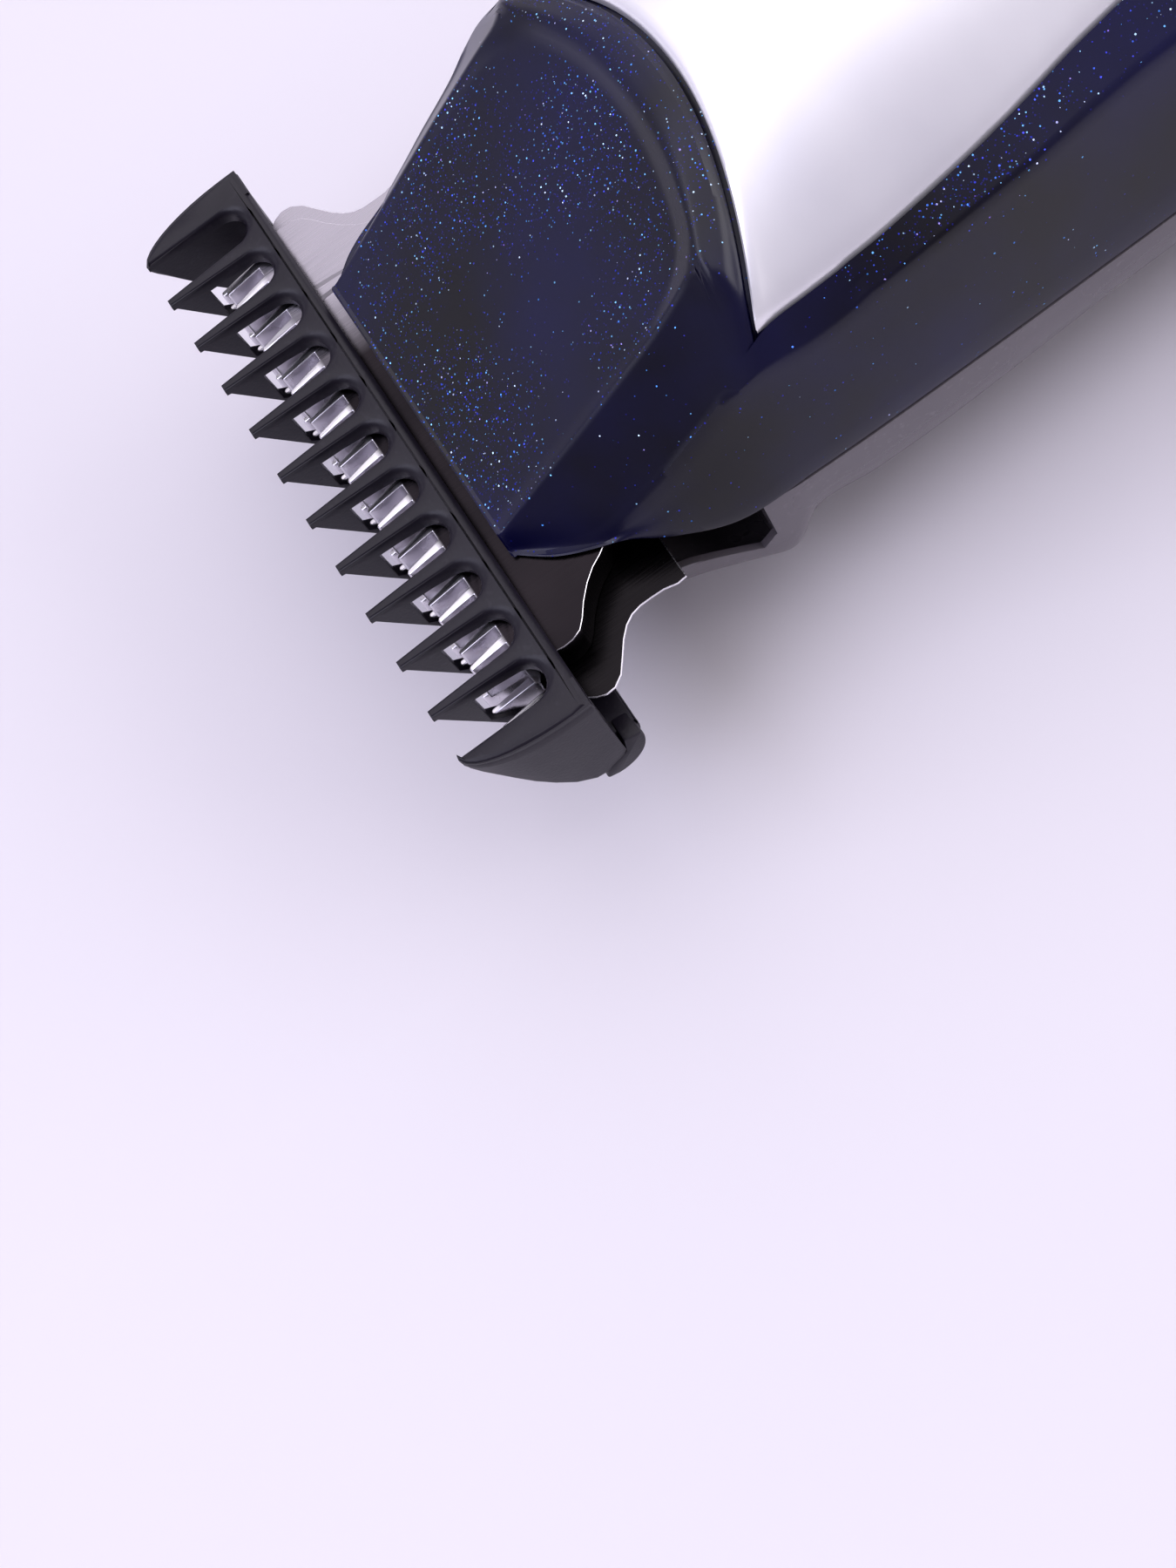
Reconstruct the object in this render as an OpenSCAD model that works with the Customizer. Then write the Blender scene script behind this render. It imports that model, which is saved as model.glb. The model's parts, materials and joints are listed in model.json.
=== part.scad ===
// Cordless T-blade hair trimmer with a push-on guide comb, in millimetres.
// X is across the handle, -Y is the cutting end, +Z is the front face. The trimmer lies on its back.
// Every module works in the head frame, whose zero is the top of the comb's tooth tips;
// in_row_frame() then puts the origin under the middle of the whole trimmer, on its rest plane.

/* [Overall] */
// Length from the comb's tooth tips to the tail
total_l = 162; // [156:1:170]
// Widest width of the housing
body_w = 32.2; // [31.6:0.2:33]
// Height of the comb's tooth tips above the rest plane
rest_h = 15; // [14.6:0.1:15.2]
// Wall thickness of the plastic shells
wall = 1.6; // [1.4:0.1:1.8]

/* [Comb] */
// Number of teeth between the two end teeth
inner_teeth = 10; // [10:2:10]
// Distance from one tooth to the next
comb_pitch = 3.6; // [3.5:0.05:3.6]
// Thickness of an inner tooth
fin_t = 1.1; // [0.9:0.1:1.4]
// Distance from the tooth tips to the back edge of the spine
comb_depth = 7.4; // [7.2:0.1:7.5]

/* [Blades] */
// Width of the fixed blade
fixed_w = 38; // [36:0.5:38]
// Width of the moving blade
moving_w = 33.6; // [32:0.2:34]
// Distance from one blade tooth to the next
tooth_pitch = 1.2; // [1.0:0.1:1.4]
// Half of the moving blade's stroke, which is also the throw of the eccentric
stroke = 1.25; // [1:0.05:1.25]

/* [Drive] */
// Diameter of the motor's round side
motor_d = 20.4; // [20:0.1:20.8]
// Height of the motor across its flats
motor_h = 15.2; // [15:0.1:15.4]
// Length of the motor can
motor_l = 30; // [28:1:31]

/* [Power] */
// Diameter of the rechargeable cell
cell_d = 14.2; // [14:0.1:14.5]
// Length of the rechargeable cell
cell_l = 50; // [48:1:51]
// Diameter of the power button
button_d = 9.4; // [8:0.2:9.6]
// Travel of the power button
button_travel = 0.5; // [0.3:0.1:0.5]

/* [Hidden] */
$fn = 48;

gap = 0.15;          // gap round a piece that is let into another
run = 0.05;          // radial running clearance of a shaft
panel_t = 0.8;       // thickness of the metal face panel

// Heights of the blade stack, counted from the comb's tooth tips
cutter_top = -1.0;
cutter_t = 2.0;
blade_top = cutter_top - cutter_t - 0.05;
blade_t = 2.5;
blade_bottom = blade_top - blade_t;
tip_y = 2.6;         // where the blades' teeth begin

// Motor, cell and boards along the handle
motor_z = 0.5;
motor_y = 33;
cell_z = -1;
cell_y = 68.5;
board_y = 64.5;
board_end = 121.5;
board_z = 6.6;
board_t = 1.2;
board_top = board_z + board_t;
button_y = 78;
button_z = 10.6;     // underside of the button's flange
pin_r = 1.0;         // eccentric's pin
pin_gap = 0.3;       // clearance in the yoke's slot, each side
frame_floor = -9;
horn_top = 0.6;      // top of the two horns that the blades are screwed to
horn_back = 23;
socket_z = 0.4;
wire_sides = 10;
screw_at = [[10, 27.5], [10, 141]];
blade_screw_at = [8.6, 18.8];
panel_end = 148;     // tail end of the face panel

// Outline lines of the housing: [distance from the tooth tips, size]
side_line = [[8.2, 10.4], [10.2, 12.4], [13, 13.6], [18.8, 15.9], [24, 16.1], [32, 15.9], [47, 15.1],
    [70, 14.6], [105, 14.9], [135, 15.1], [151, 14.2], [158, 12.6], [162, 9.5]];
chin_line = [[9.6, 14.2], [12, 14.7], [15.5, 14.8], [18.8, 15.3], [21, 15.9], [24, 16.1], [32, 15.9],
    [47, 15.1], [70, 14.6], [105, 14.9], [135, 15.1], [151, 14.2], [158, 12.6], [162, 9.5]];
shoulder_x_line = [[8.2, 10.2], [12.5, 13.1], [16.6, 14], [20.2, 14.3], [23, 14.6], [27, 15], [40, 15],
    [47, 14.3], [70, 13.8], [105, 14.1], [135, 14.3], [151, 13.4], [158, 11.8], [162, 8.9]];
shoulder_line = [[8.2, -0.3], [12.5, -0.6], [16.7, 1.6], [20.3, 3.9], [23.3, 6.5], [27, 6.2],
    [32, 7.1], [40, 8.0], [60, 8.6], [90, 8.8], [120, 8.2], [150, 6.0], [158, 4.2], [162, 2]];
edge_line = [[8.2, 10.1], [16.8, 10.75], [23.4, 10.6], [24, 12.8], [26, 13.2], [33, 13.2], [40, 12.6],
    [47.5, 11.4], [60, 10.4], [75, 10], [100, 10.2], [125, 10.4], [150, 9.8], [158, 8.8], [162, 6.5]];
edge_z_line = [[8.2, 0.2], [16.8, 5.8], [23.4, 9.9], [24, 8.7], [27, 7.9], [33, 8.5], [40, 9.3],
    [47.5, 10.2], [60, 11.0], [80, 11.6], [110, 11.2], [135, 9.4], [150, 7.6], [158, 5.8], [162, 3.2]];
top_line = [[8.2, 0.2], [16.8, 5.8], [24, 10.4], [26.8, 12.2], [29, 13.5], [33, 14.4], [40, 15.0],
    [55, 15.4], [80, 15.4], [110, 14.2], [135, 11.8], [150, 9.4], [158, 7.2], [162, 4.2]];
crown_line = [[8.2, 2], [22, 2], [23.4, 6], [24, 6], [27, 3.6], [30, 2.4], [36, 2], [162, 2]];
part_line = [[8.2, -0.5], [13.6, -0.75], [15.5, -1.6], [18.8, -2.3], [24, -2.4], [32, -2.7],
    [47, -3.4], [150, -3.2], [162, -2]];
corner_line = [[9.6, -5.8], [20.8, -5.8], [23.4, -3.2], [32, -3.1], [47, -3.8], [150, -3.6], [162, -2.4]];
round_line = [[9.6, 4], [20.8, 4], [23, 2.5], [27, 2.6], [47, 2.05], [100, 2.1], [162, 2.3]];
back_line = [[9.6, 6.9], [12, 7.4], [16.5, 9.2], [21, 11.2], [32, 13.2], [45, 14.2],
    [58, 15.4], [122, 15.4], [143, 13.9], [156, 10.4], [162, 6.4]];
section_y = [8.2, 9, 10.2, 12, 14, 16.5, 19, 21, 22.4, 23.4, 24, 25.2, 27, 29, 33, 40, 48, 58, 70,
    84, 98, 110, 122, 132, 141, 148, 153, 157, 160, 162];
chin_top = blade_bottom - 0.15;
wedge_back = 20.6;   // where the rear shell's side walls begin behind the head

// Piecewise cubic through the points of a line, read at y
function seg(y, p, i = 0) = (i >= len(p) - 2 || y < p[i + 1][0]) ? i : seg(y, p, i + 1);
function steep(p, i) =
    let (a = max(i - 1, 0), b = min(i + 1, len(p) - 1))
    (p[b][1] - p[a][1]) / (p[b][0] - p[a][0]);
function curve(y, p) =
    let (i = seg(y, p), h = p[i + 1][0] - p[i][0], t = (y - p[i][0]) / h)
    (2 * t ^ 3 - 3 * t ^ 2 + 1) * p[i][1] + (t ^ 3 - 2 * t ^ 2 + t) * h * steep(p, i)
    + (3 * t ^ 2 - 2 * t ^ 3) * p[i + 1][1] + (t ^ 3 - t ^ 2) * h * steep(p, i + 1);

// The lines are drawn for a 162 mm trimmer: longer ones stretch behind the head
function head_y(y) = y <= 40 ? y : 40 + (y - 40) * 122 / (total_l - 40);
function at(y, line) = curve(head_y(y), line);
function real_y(y) = y <= 40 ? y : 40 + (y - 40) * (total_l - 40) / 122;
function width_k() = body_w / 32.2;

// Half sections of the two shells, d deep inside the outer surface
function front_half(y, d) =
    let (xe = at(y, edge_line) * width_k() - d * 0.7, ze = at(y, edge_z_line) - d,
        xs = at(y, shoulder_x_line) * width_k() - d, zc = at(y, top_line) - d,
        zs = max(at(y, shoulder_line) - d * 0.7, at(y, part_line) + 0.05), p = at(y, crown_line))
    [for (k = [0:6]) let (u = k / 6) [xe * u, zc - (zc - ze) * u ^ p], [xs, zs]];
function rear_half(y, d) =
    let (xs = at(y, chin_line) * width_k() - d, z0 = at(y, corner_line),
        zb = -at(y, back_line) + d, n = at(y, round_line))
    [for (k = [0:8]) let (a = 90 * k / 8)
        [xs * pow(cos(a), 2 / n), z0 - (z0 - zb) * pow(sin(a), 2 / n)]];
function mirrored(half) = [for (i = [len(half) - 1:-1:1]) [-half[i][0], half[i][1]]];
function front_loop(y, d, low) =
    let (h = front_half(y, d), xs = at(y, side_line) * width_k() - d, z = at(y, part_line) - low)
    concat([[-xs, z]], mirrored(h), h, [[xs, z]]);
function rear_loop(y, d, high) =
    let (h = rear_half(y, d), xs = at(y, chin_line) * width_k() - d,
        z = max(at(y, part_line), at(y, corner_line) + 0.3) + high)
    concat([[xs, z]], h, [for (i = [len(h) - 2:-1:0]) [-h[i][0], h[i][1]]], [[-xs, z]]);

// Solid through a row of closed loops of equal length, each [x, z] at its own y
module skin(ys, loops) {
    n = len(loops[0]);
    last = len(ys) - 1;
    polyhedron(
        points = [for (j = [0:last]) for (p = loops[j]) [p[0], ys[j], p[1]]],
        faces = concat(
            [[for (i = [0:n - 1]) i]],
            [for (j = [0:last - 1]) for (i = [0:n - 1]) let (k = (i + 1) % n)
                [j * n + i, (j + 1) * n + i, (j + 1) * n + k]],
            [for (j = [0:last - 1]) for (i = [0:n - 1]) let (k = (i + 1) % n)
                [j * n + i, (j + 1) * n + k, j * n + k]],
            [[for (i = [n - 1:-1:0]) last * n + i]]));
}

module front_form(d, low, ys) {
    skin(ys, [for (y = ys) front_loop(y, d, low)]);
}

module rear_form(d, high, ys) {
    skin(ys, [for (y = ys) rear_loop(y, d, high)]);
}

function cavity_y() = concat([9.8], stations(10, total_l - 3), [total_l - wall]);
function stations(a, b) = [for (y = section_y) if (real_y(y) > a && real_y(y) < b) real_y(y)];

module in_row_frame() {
    translate([0, -total_l / 2, rest_h]) children();
}

module both_sides() {
    children();
    mirror([1, 0, 0]) children();
}

module box(x0, x1, y0, y1, z0, z1) {
    translate([x0, y0, z0]) cube([x1 - x0, y1 - y0, z1 - z0]);
}

// A cylinder along Y, from y0 to y1
module bar(r, y0, y1, x = 0, z = 0) {
    translate([x, y0, z]) rotate([-90, 0, 0]) cylinder(h = y1 - y0, r = r);
}

// A profile in Y and Z, carried from x0 to x1
module side_profile(x0, x1, points) {
    translate([x0, 0, 0]) rotate([90, 0, 90]) linear_extrude(x1 - x0) polygon(points);
}

// A round wire of radius r through points: one ring of sides at each point, square to the wire there
function unit(v) = v / norm(v);
function heading(points, i) =
    let (a = max(i - 1, 0), b = min(i + 1, len(points) - 1)) unit(points[b] - points[a]);
function ring(c, d, r) =
    let (u = unit(cross(d, abs(d[0]) < 0.9 ? [1, 0, 0] : [0, 1, 0])), v = cross(d, u))
    [for (k = [0:wire_sides - 1]) c + r * (u * cos(360 * k / wire_sides) + v * sin(360 * k / wire_sides))];
module wire(points, r) {
    last = len(points) - 1;
    n = wire_sides;
    polyhedron(
        points = [for (i = [0:last]) each ring(points[i], heading(points, i), r)],
        faces = concat(
            [[for (k = [0:n - 1]) k]],
            [for (i = [0:last - 1]) for (k = [0:n - 1]) let (m = (k + 1) % n)
                [i * n + k, (i + 1) * n + k, (i + 1) * n + m, i * n + m]],
            [[for (k = [n - 1:-1:0]) last * n + k]]));
}

// Plan outline of the metal face panel, grown by g: an arc hollow at the head, a round tail
arc_r = 19.6;
arc_y = 28.9;
panel_y = [23.9, 25, 26, 30, 36, 42, 48, 56, 64, 80, 100, 120, 134];
module panel_outline(g) {
    difference() {
        polygon(concat(
            [for (y = panel_y) [at(real_y(y), edge_line) * width_k() + g, real_y(y)]],
            [for (a = [0:15:90]) [(at(real_y(134), edge_line) * width_k() + g) * cos(a),
                real_y(134) + (real_y(panel_end) - real_y(134) + g) * sin(a)]],
            [for (a = [105:15:180]) [(at(real_y(134), edge_line) * width_k() + g) * cos(a),
                real_y(134) + (real_y(panel_end) - real_y(134) + g) * sin(a)]],
            [for (i = [len(panel_y) - 2:-1:0])
                [-at(real_y(panel_y[i]), edge_line) * width_k() - g, real_y(panel_y[i])]]));
        translate([0, arc_y - g - arc_r]) circle(r = arc_r, $fn = 96);
    }
}

module boss(p, r, z0, z1) {
    translate([p[0], real_y(p[1]), z0]) cylinder(h = z1 - z0, r = r);
}

// Navy front half of the housing, with the sloped head panel
module front_shell() {
    color("midnightblue") difference() {
        union() {
            difference() {
                front_form(0, 0, stations(0, total_l + 1));
                skin(cavity_y(), [for (y = cavity_y())
                    front_loop(y, y < 22 ? wall - 0.3 : wall + panel_t, 1)]);
            }
            both_sides() for (p = screw_at) boss(p, 2.4, -2.4, 9.4);
        }
        difference() {
            translate([0, 0, 5]) linear_extrude(20) panel_outline(gap);
            front_form(panel_t, 1, stations(20, total_l - 3));
        }
        both_sides() for (p = screw_at) boss(p, 1.15, -4, 5);
        translate([0, button_y, 0]) cylinder(h = 20, r = button_d / 2 + 0.3);
        box(-1.65, 1.65, 91.85, 104.15, 5, 20);
        tail_window();
    }
}

// Satin metal panel let into the front of the handle
module face_panel() {
    color("silver") difference() {
        intersection() {
            front_form(0, 0, stations(20, total_l - 3));
            translate([0, 0, 5]) linear_extrude(20) panel_outline(0);
        }
        front_form(panel_t - 0.12, 1, stations(14, total_l - 1));
        translate([0, button_y, 0]) cylinder(h = 20, r = button_d / 2 + 0.3);
        box(-1.65, 1.65, 91.85, 104.15, 5, 20);
    }
}

// Window in the tail for the charging socket
module tail_window() {
    box(-5.6, 5.6, total_l - 8, total_l + 1, socket_z - 2.6, socket_z + 2.6);
}

// Charcoal back half of the housing, which reaches forward under the blades as a chin
module rear_shell() {
    color("dimgray") difference() {
        union() {
            difference() {
                rear_form(0, -0.06, concat([9.6], stations(9.7, total_l + 1)));
                rear_form(wall, 1, concat([8.4], stations(8.6, total_l - 3), [total_l - wall]));
            }
            intersection() {
                both_sides() for (p = screw_at) boss(p, 3.1, -rest_h - 1, -2.5);
                rear_form(0.4, -0.06, stations(9.7, total_l + 1));
            }
        }
        side_profile(-20, 20, [[5, chin_top], [15.5, chin_top], [19.6, -7.1],
            [wedge_back, -5.9], [wedge_back - 1, 2], [5, 2]]);
        box(-20, 20, 0, total_l, -rest_h - 5, -rest_h);
        both_sides() for (p = screw_at) {
            boss(p, 1.3, -rest_h - 1, 0);
            boss(p, 2.3, -rest_h - 1, -8.6);
        }
        tail_window();
    }
}

// Black tray that carries the blades, the motor, the cell and the board
module inner_frame() {
    color([0.08, 0.08, 0.09]) difference() {
        union() {
            both_sides() box(5.2, 11.6, 16.6, horn_back, blade_top + 0.02, horn_top);
            both_sides() box(4.7, 6.4, 22, 31.4, blade_top, horn_top);
            for (y = [31.2, 35.2, 58]) box(-11.3, 11.3, y, y + 1.7, -7.6, 2.8);
            both_sides() box(9.4, 10.4, 31.2, 60, frame_floor, -5);
            box(-10.4, 10.4, 58, 128, frame_floor, frame_floor + 1.2);
            box(-10.4, 10.4, 31.2, 37, frame_floor, -7.4);
            for (y = [78, 110]) box(-10.2, 10.2, y, y + 1.6, frame_floor, 0);
            box(-10.2, 10.2, cell_y - 2.4, cell_y - 1, frame_floor, 1.2);
            box(-10.2, 10.2, cell_y + cell_l + 2, cell_y + cell_l + 3.6, frame_floor, 3);
            both_sides() for (y = [cell_y - 2, cell_y + cell_l + 2]) translate([8, y, frame_floor])
                cylinder(h = board_z - 0.02 - frame_floor, r = 1);
            both_sides() box(4, 8, 126, 128, frame_floor, -2.5);
            both_sides() box(4, 6, 126, 156, -4.4, -2.5);
        }
        motor_form(0.1, motor_y - 0.1, 64);
        bar(3.2, 30, 34, 0, motor_z);
        bar(cell_d / 2 + 0.1, cell_y - 0.6, cell_y + cell_l + 0.6, 0, cell_z);
        both_sides() translate([blade_screw_at[0], blade_screw_at[1], blade_top - 1])
            cylinder(h = 4.6, r = 0.95);
    }
}

// Comb profile: tooth tip, long underside, round heel and the notch for the blades
tip_h = 0.25;
notch_y = 2.3;
heel_y = 8.7;
notch_top = cutter_top + 0.25;
notch_bottom = blade_bottom - 0.25;
spine_top = 0.3;
heel_arc = [for (a = [250:20:370]) [6.6 + 2.1 * cos(a), -6.5 + 2.1 * sin(a)]];
function tooth_profile() = concat(
    [[0, 0], [0.1, -tip_h], [2.3, -3.6], [4.9, -7.6]],
    heel_arc,
    [[heel_y, notch_bottom], [5.1, notch_bottom], [notch_y, blade_top - 0.05],
        [notch_y, notch_top], [comb_depth, notch_top], [comb_depth, 0], [comb_depth - 0.4, spine_top]]);
comb_half = (inner_teeth + 1) / 2 * comb_pitch + 1.5;

module spine() {
    side_profile(-comb_half + 0.4, comb_half - 0.4, [[3.6, notch_top], [comb_depth, notch_top],
        [comb_depth, 0], [comb_depth - 0.4, spine_top], [3.6, spine_top * 0.5]]);
    side_profile(-comb_half + 1.1, comb_half - 1.1, concat([[5.6, notch_bottom], [5.2, -6.9]],
        heel_arc, [[heel_y, notch_bottom]]));
}

// Push-on guide comb: a slotted spine, ten fins and two broad end teeth
module guide_comb() {
    color([0.2, 0.19, 0.21]) {
        difference() {
            spine();
            for (i = [0:inner_teeth]) translate([(i - inner_teeth / 2) * comb_pitch, 0, -3]) {
                translate([0, 4.95, 0]) cylinder(h = 5, r = (comb_pitch - fin_t) / 2);
                box(-(comb_pitch - fin_t) / 2, (comb_pitch - fin_t) / 2, 3, 4.95, 0, 5);
            }
        }
        for (i = [0:inner_teeth - 1]) {
            x = (i - (inner_teeth - 1) / 2) * comb_pitch;
            side_profile(x - fin_t / 2, x + fin_t / 2, tooth_profile());
        }
        both_sides() intersection() {
            side_profile(comb_half - 1.9, comb_half, concat(
                [[0, 0], [0.2, -0.8], [1.4, -3.2], [3.9, -7.4], [6.7, -8.5], [7.3, -7.3], [6.4, -6.9],
                [5.2, -4.9], [6, -2.2], [6.8, -0.4], [comb_depth, 0], [comb_depth - 0.4, spine_top]]));
            translate([0, 0, -10]) linear_extrude(12) polygon(concat([[comb_half - 1.95, 0]],
                [for (a = [0:15:90]) [comb_half - 2 + 2 * sin(a), 6 - 6 * cos(a)]],
                [[comb_half, 9], [comb_half - 1.95, 9]]));
            difference() {
                box(0, comb_half, -1, 9, -9, 1);
                box(0, fixed_w / 2 + 0.3, notch_y, 9, notch_bottom, notch_top);
            }
        }
    }
}

// Plan outline of a toothed T-shaped blade: teeth from front, S-curved wings, neck to the back
function teeth(half, front, root) =
    let (n = floor((2 * half - 0.8) / tooth_pitch), x0 = -(n - 1) / 2 * tooth_pitch)
    [for (i = [0:n - 1]) let (x = x0 + i * tooth_pitch)
        each [[x - 0.36, root], [x - 0.2, front], [x + 0.2, front], [x + 0.36, root]]];
function wing(half, y0, neck, y1) =
    [for (k = [0:8]) let (u = k / 8)
        [half - (half - neck) * (1 - cos(180 * u)) / 2, y0 + (y1 - y0) * (u + sin(360 * u) / 14)]];
function flipped(points) = [for (i = [len(points) - 1:-1:0]) [-points[i][0], points[i][1]]];
module blade_plan(half, front, root, wing_y, neck, neck_y, back) {
    side = concat([[half - 0.2, root], [half, root + 0.8]],
        wing(half, wing_y, neck, neck_y), [[neck, back]]);
    polygon(concat(teeth(half, front, root), side, flipped(side)));
}

module fixed_blade() {
    color([0.45, 0.45, 0.47]) difference() {
        intersection() {
            translate([0, 0, blade_bottom]) linear_extrude(blade_t) union() {
                blade_plan(fixed_w / 2, tip_y, 5.6, 7.2, 15, 11.8, 15.2);
                translate([-11.4, 14]) square([22.8, 8]);
            }
            side_profile(-25, 25, [[tip_y - 0.1, blade_top + 1], [tip_y - 0.1, blade_top - 0.12],
                [5.4, blade_bottom - 0.05], [30, blade_bottom - 0.05], [30, blade_top + 1]]);
        }
        both_sides() translate([blade_screw_at[0], blade_screw_at[1], blade_bottom - 1])
            cylinder(h = 4, r = 1.2);
    }
}

module moving_blade() {
    color([0.62, 0.62, 0.64]) difference() {
        intersection() {
            translate([0, 0, cutter_top - cutter_t]) linear_extrude(cutter_t)
                blade_plan(moving_w / 2, tip_y + 0.4, 5.4, 8, 11, 14, 15.6);
            side_profile(-25, 25, [[tip_y + 0.3, cutter_top - cutter_t - 1],
                [tip_y + 0.3, cutter_top - 1.1],
                [4.4, cutter_top + 0.05], [30, cutter_top + 0.05], [30, cutter_top - cutter_t - 1]]);
        }
        both_sides() translate([4.6, 13.7, cutter_top - 3]) cylinder(h = 4, r = 0.9);
    }
}

yoke_top = cutter_top + 1.3;

// Plastic follower on the moving blade: the eccentric's pin runs in its slot
module drive_yoke() {
    color("white") {
        difference() {
            union() {
                box(-7, 7, 12, 16.2, cutter_top + 0.02, yoke_top);
                box(-3.6, 3.6, 16, 19.6, cutter_top + 0.02, 3.7);
            }
            box(-pin_r - pin_gap, pin_r + pin_gap, 17.4, 20, -0.75, 5);
        }
        both_sides() translate([4.6, 13.7, cutter_top - 1.2]) cylinder(h = 1.3, r = 0.85);
    }
}

// Wire spring with two legs that press the yoke and the moving blade down
spring_r = 0.4;
module tension_spring() {
    back = horn_back + spring_r + 0.12;
    top = horn_top + spring_r + 0.12;
    foot = yoke_top + spring_r + 0.05;
    color("gainsboro") both_sides()
        wire([[9.6, back, -1.4], [9.6, back, top - 0.5], [9.6, back - 0.5, top], [9.2, 17.4, top],
            [5.4, 15, foot], [5.4, 13.6, foot], [5.4, 12.6, foot + 0.5]], spring_r);
}

module blade_screws() {
    color("silver") both_sides() translate([blade_screw_at[0], blade_screw_at[1], 0]) {
        translate([0, 0, blade_bottom - 0.02]) cylinder(h = 3.6, r = 0.9);
        difference() {
            translate([0, 0, blade_bottom - 1.12]) cylinder(h = 1.1, r = 1.9);
            translate([-0.25, -1.2, blade_bottom - 1.2]) cube([0.5, 2.4, 0.6]);
            translate([-1.2, -0.25, blade_bottom - 1.2]) cube([2.4, 0.5, 0.6]);
        }
    }
}

// Motor outline, grown by g: round sides, flat top and bottom
module motor_form(g, y0, y1) {
    intersection() {
        bar(motor_d / 2 + g, y0, y1, 0, motor_z);
        box(-20, 20, y0, y1, motor_z - motor_h / 2 - g, motor_z + motor_h / 2 + g);
    }
}

can_t = 0.8;
end_t = 3.2;
module motor_can() {
    color("lightgray") difference() {
        union() {
            motor_form(0, motor_y, motor_y + motor_l);
            bar(3, motor_y - 1.6, motor_y + 1, 0, motor_z);
        }
        motor_form(-can_t, motor_y + can_t, motor_y + motor_l + 1);
        bar(pin_r + run, motor_y - 3, motor_y + 2, 0, motor_z);
    }
}

module motor_magnets() {
    color([0.22, 0.2, 0.2]) both_sides() intersection() {
        difference() {
            motor_form(-can_t - 0.05, motor_y + 4, motor_y + motor_l - end_t - 5);
            bar(7.2, motor_y, motor_y + motor_l, 0, motor_z);
        }
        box(4.4, 12, 0, 100, -20, 20);
    }
}

module motor_end_cap() {
    color("ivory") difference() {
        union() {
            motor_form(-can_t - 0.05, motor_y + motor_l - end_t, motor_y + motor_l);
            bar(2.6, motor_y + motor_l - 1, motor_y + motor_l + 1.2, 0, motor_z);
            both_sides() box(4.8, 7.2, motor_y + motor_l - 1, motor_y + motor_l + 2.4,
                motor_z + 2, motor_z + 2.5);
        }
        bar(pin_r + run, motor_y + motor_l - end_t - 1, motor_y + motor_l + 0.6, 0, motor_z);
    }
}

module motor_shaft() {
    color("silver") bar(pin_r, 24.4, motor_y + motor_l + 0.5, 0, motor_z);
}

// Laminated three-pole core with its windings
module armature() {
    core_y0 = motor_y + 5;
    core_y1 = motor_y + motor_l - 12;
    color("sienna") difference() {
        bar(6.4, core_y0, core_y1, 0, motor_z);
        for (a = [30, 150, 270]) translate([0, 0, motor_z]) rotate([0, a, 0])
            box(3.4, 7, core_y0 - 1, core_y1 + 1, -0.7, 0.7);
        bar(pin_r + 0.01, core_y0 - 1, core_y1 + 1, 0, motor_z);
    }
}

module commutator() {
    color("darkgoldenrod") difference() {
        bar(2.6, motor_y + motor_l - 11.4, motor_y + motor_l - end_t - 0.6, 0, motor_z);
        bar(pin_r + 0.01, motor_y + 5, motor_y + motor_l, 0, motor_z);
        for (a = [90, 210, 330]) translate([0, 0, motor_z]) rotate([0, a, 0])
            box(2.2, 3, motor_y + 5, motor_y + motor_l, -0.15, 0.15);
    }
}

// Cam on the shaft whose pin swings the yoke
module eccentric() {
    color("orange") {
        difference() {
            bar(3.4, 22, 28.6, 0, motor_z);
            bar(pin_r + 0.01, 24.3, 29, 0, motor_z);
        }
        bar(pin_r, 17.9, 22.5, 0, motor_z + stroke);
    }
}

module motor_leads() {
    colours = ["red", "black"];
    for (s = [0, 1]) color(colours[s]) mirror([s, 0, 0])
        wire([[6, motor_y + motor_l + 2.5, motor_z + 2.25], [6, 67, motor_z + 2.4],
            [7, 68.2, 5], [7, 70.6, board_z - 1], [7, 70.6, board_z - 0.02]], 0.55);
}

module battery_cell() {
    color("mediumseagreen") bar(cell_d / 2, cell_y, cell_y + cell_l, 0, cell_z);
    color("silver") bar(3, cell_y - 0.5, cell_y + 0.1, 0, cell_z);
}

// Nickel strips welded to the cell's ends and bent up to the board
module battery_tabs() {
    color("lightsteelblue") {
        box(-2, 2, cell_y - 0.8, cell_y - 0.52, cell_z - 2, board_z - 0.02);
        box(-2, 2, cell_y + cell_l + 0.02, cell_y + cell_l + 0.3, cell_z - 2, board_z - 0.02);
    }
}

module battery_foam() {
    color("darkslategray") box(-5, 5, cell_y + 10, cell_y + 40, cell_z + cell_d / 2 + 0.05, board_z - 0.05);
}

module circuit_board() {
    color("darkgreen") difference() {
        box(-9, 9, board_y, board_end, board_z, board_top);
        both_sides() for (y = [72, 116]) translate([6, y, 0]) cylinder(h = 20, r = 0.5);
    }
}

module board_chips() {
    color([0.1, 0.1, 0.1]) {
        box(-3, 3, 106, 111, board_top + 0.02, board_top + 1);
        both_sides() box(5, 6.6, 86, 89, board_top + 0.02, board_top + 0.8);
        box(-6.4, -4, 113, 117, board_top + 0.02, board_top + 1.1);
        box(2.6, 6.4, 113.4, 117, board_top + 0.02, board_top + 1);
    }
}

module tact_switch() {
    color([0.15, 0.15, 0.16]) difference() {
        box(-2.6, 2.6, button_y - 2.6, button_y + 2.6, board_top + 0.02, board_top + 1.4);
        translate([0, button_y, board_top + 0.3]) cylinder(h = 3, r = 1.05);
    }
}

module charge_leds() {
    color("honeydew") for (i = [0:3])
        box(-0.8, 0.8, 93 + i * 3, 94 + i * 3, board_top + 0.02, board_top + 0.7);
}

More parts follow.
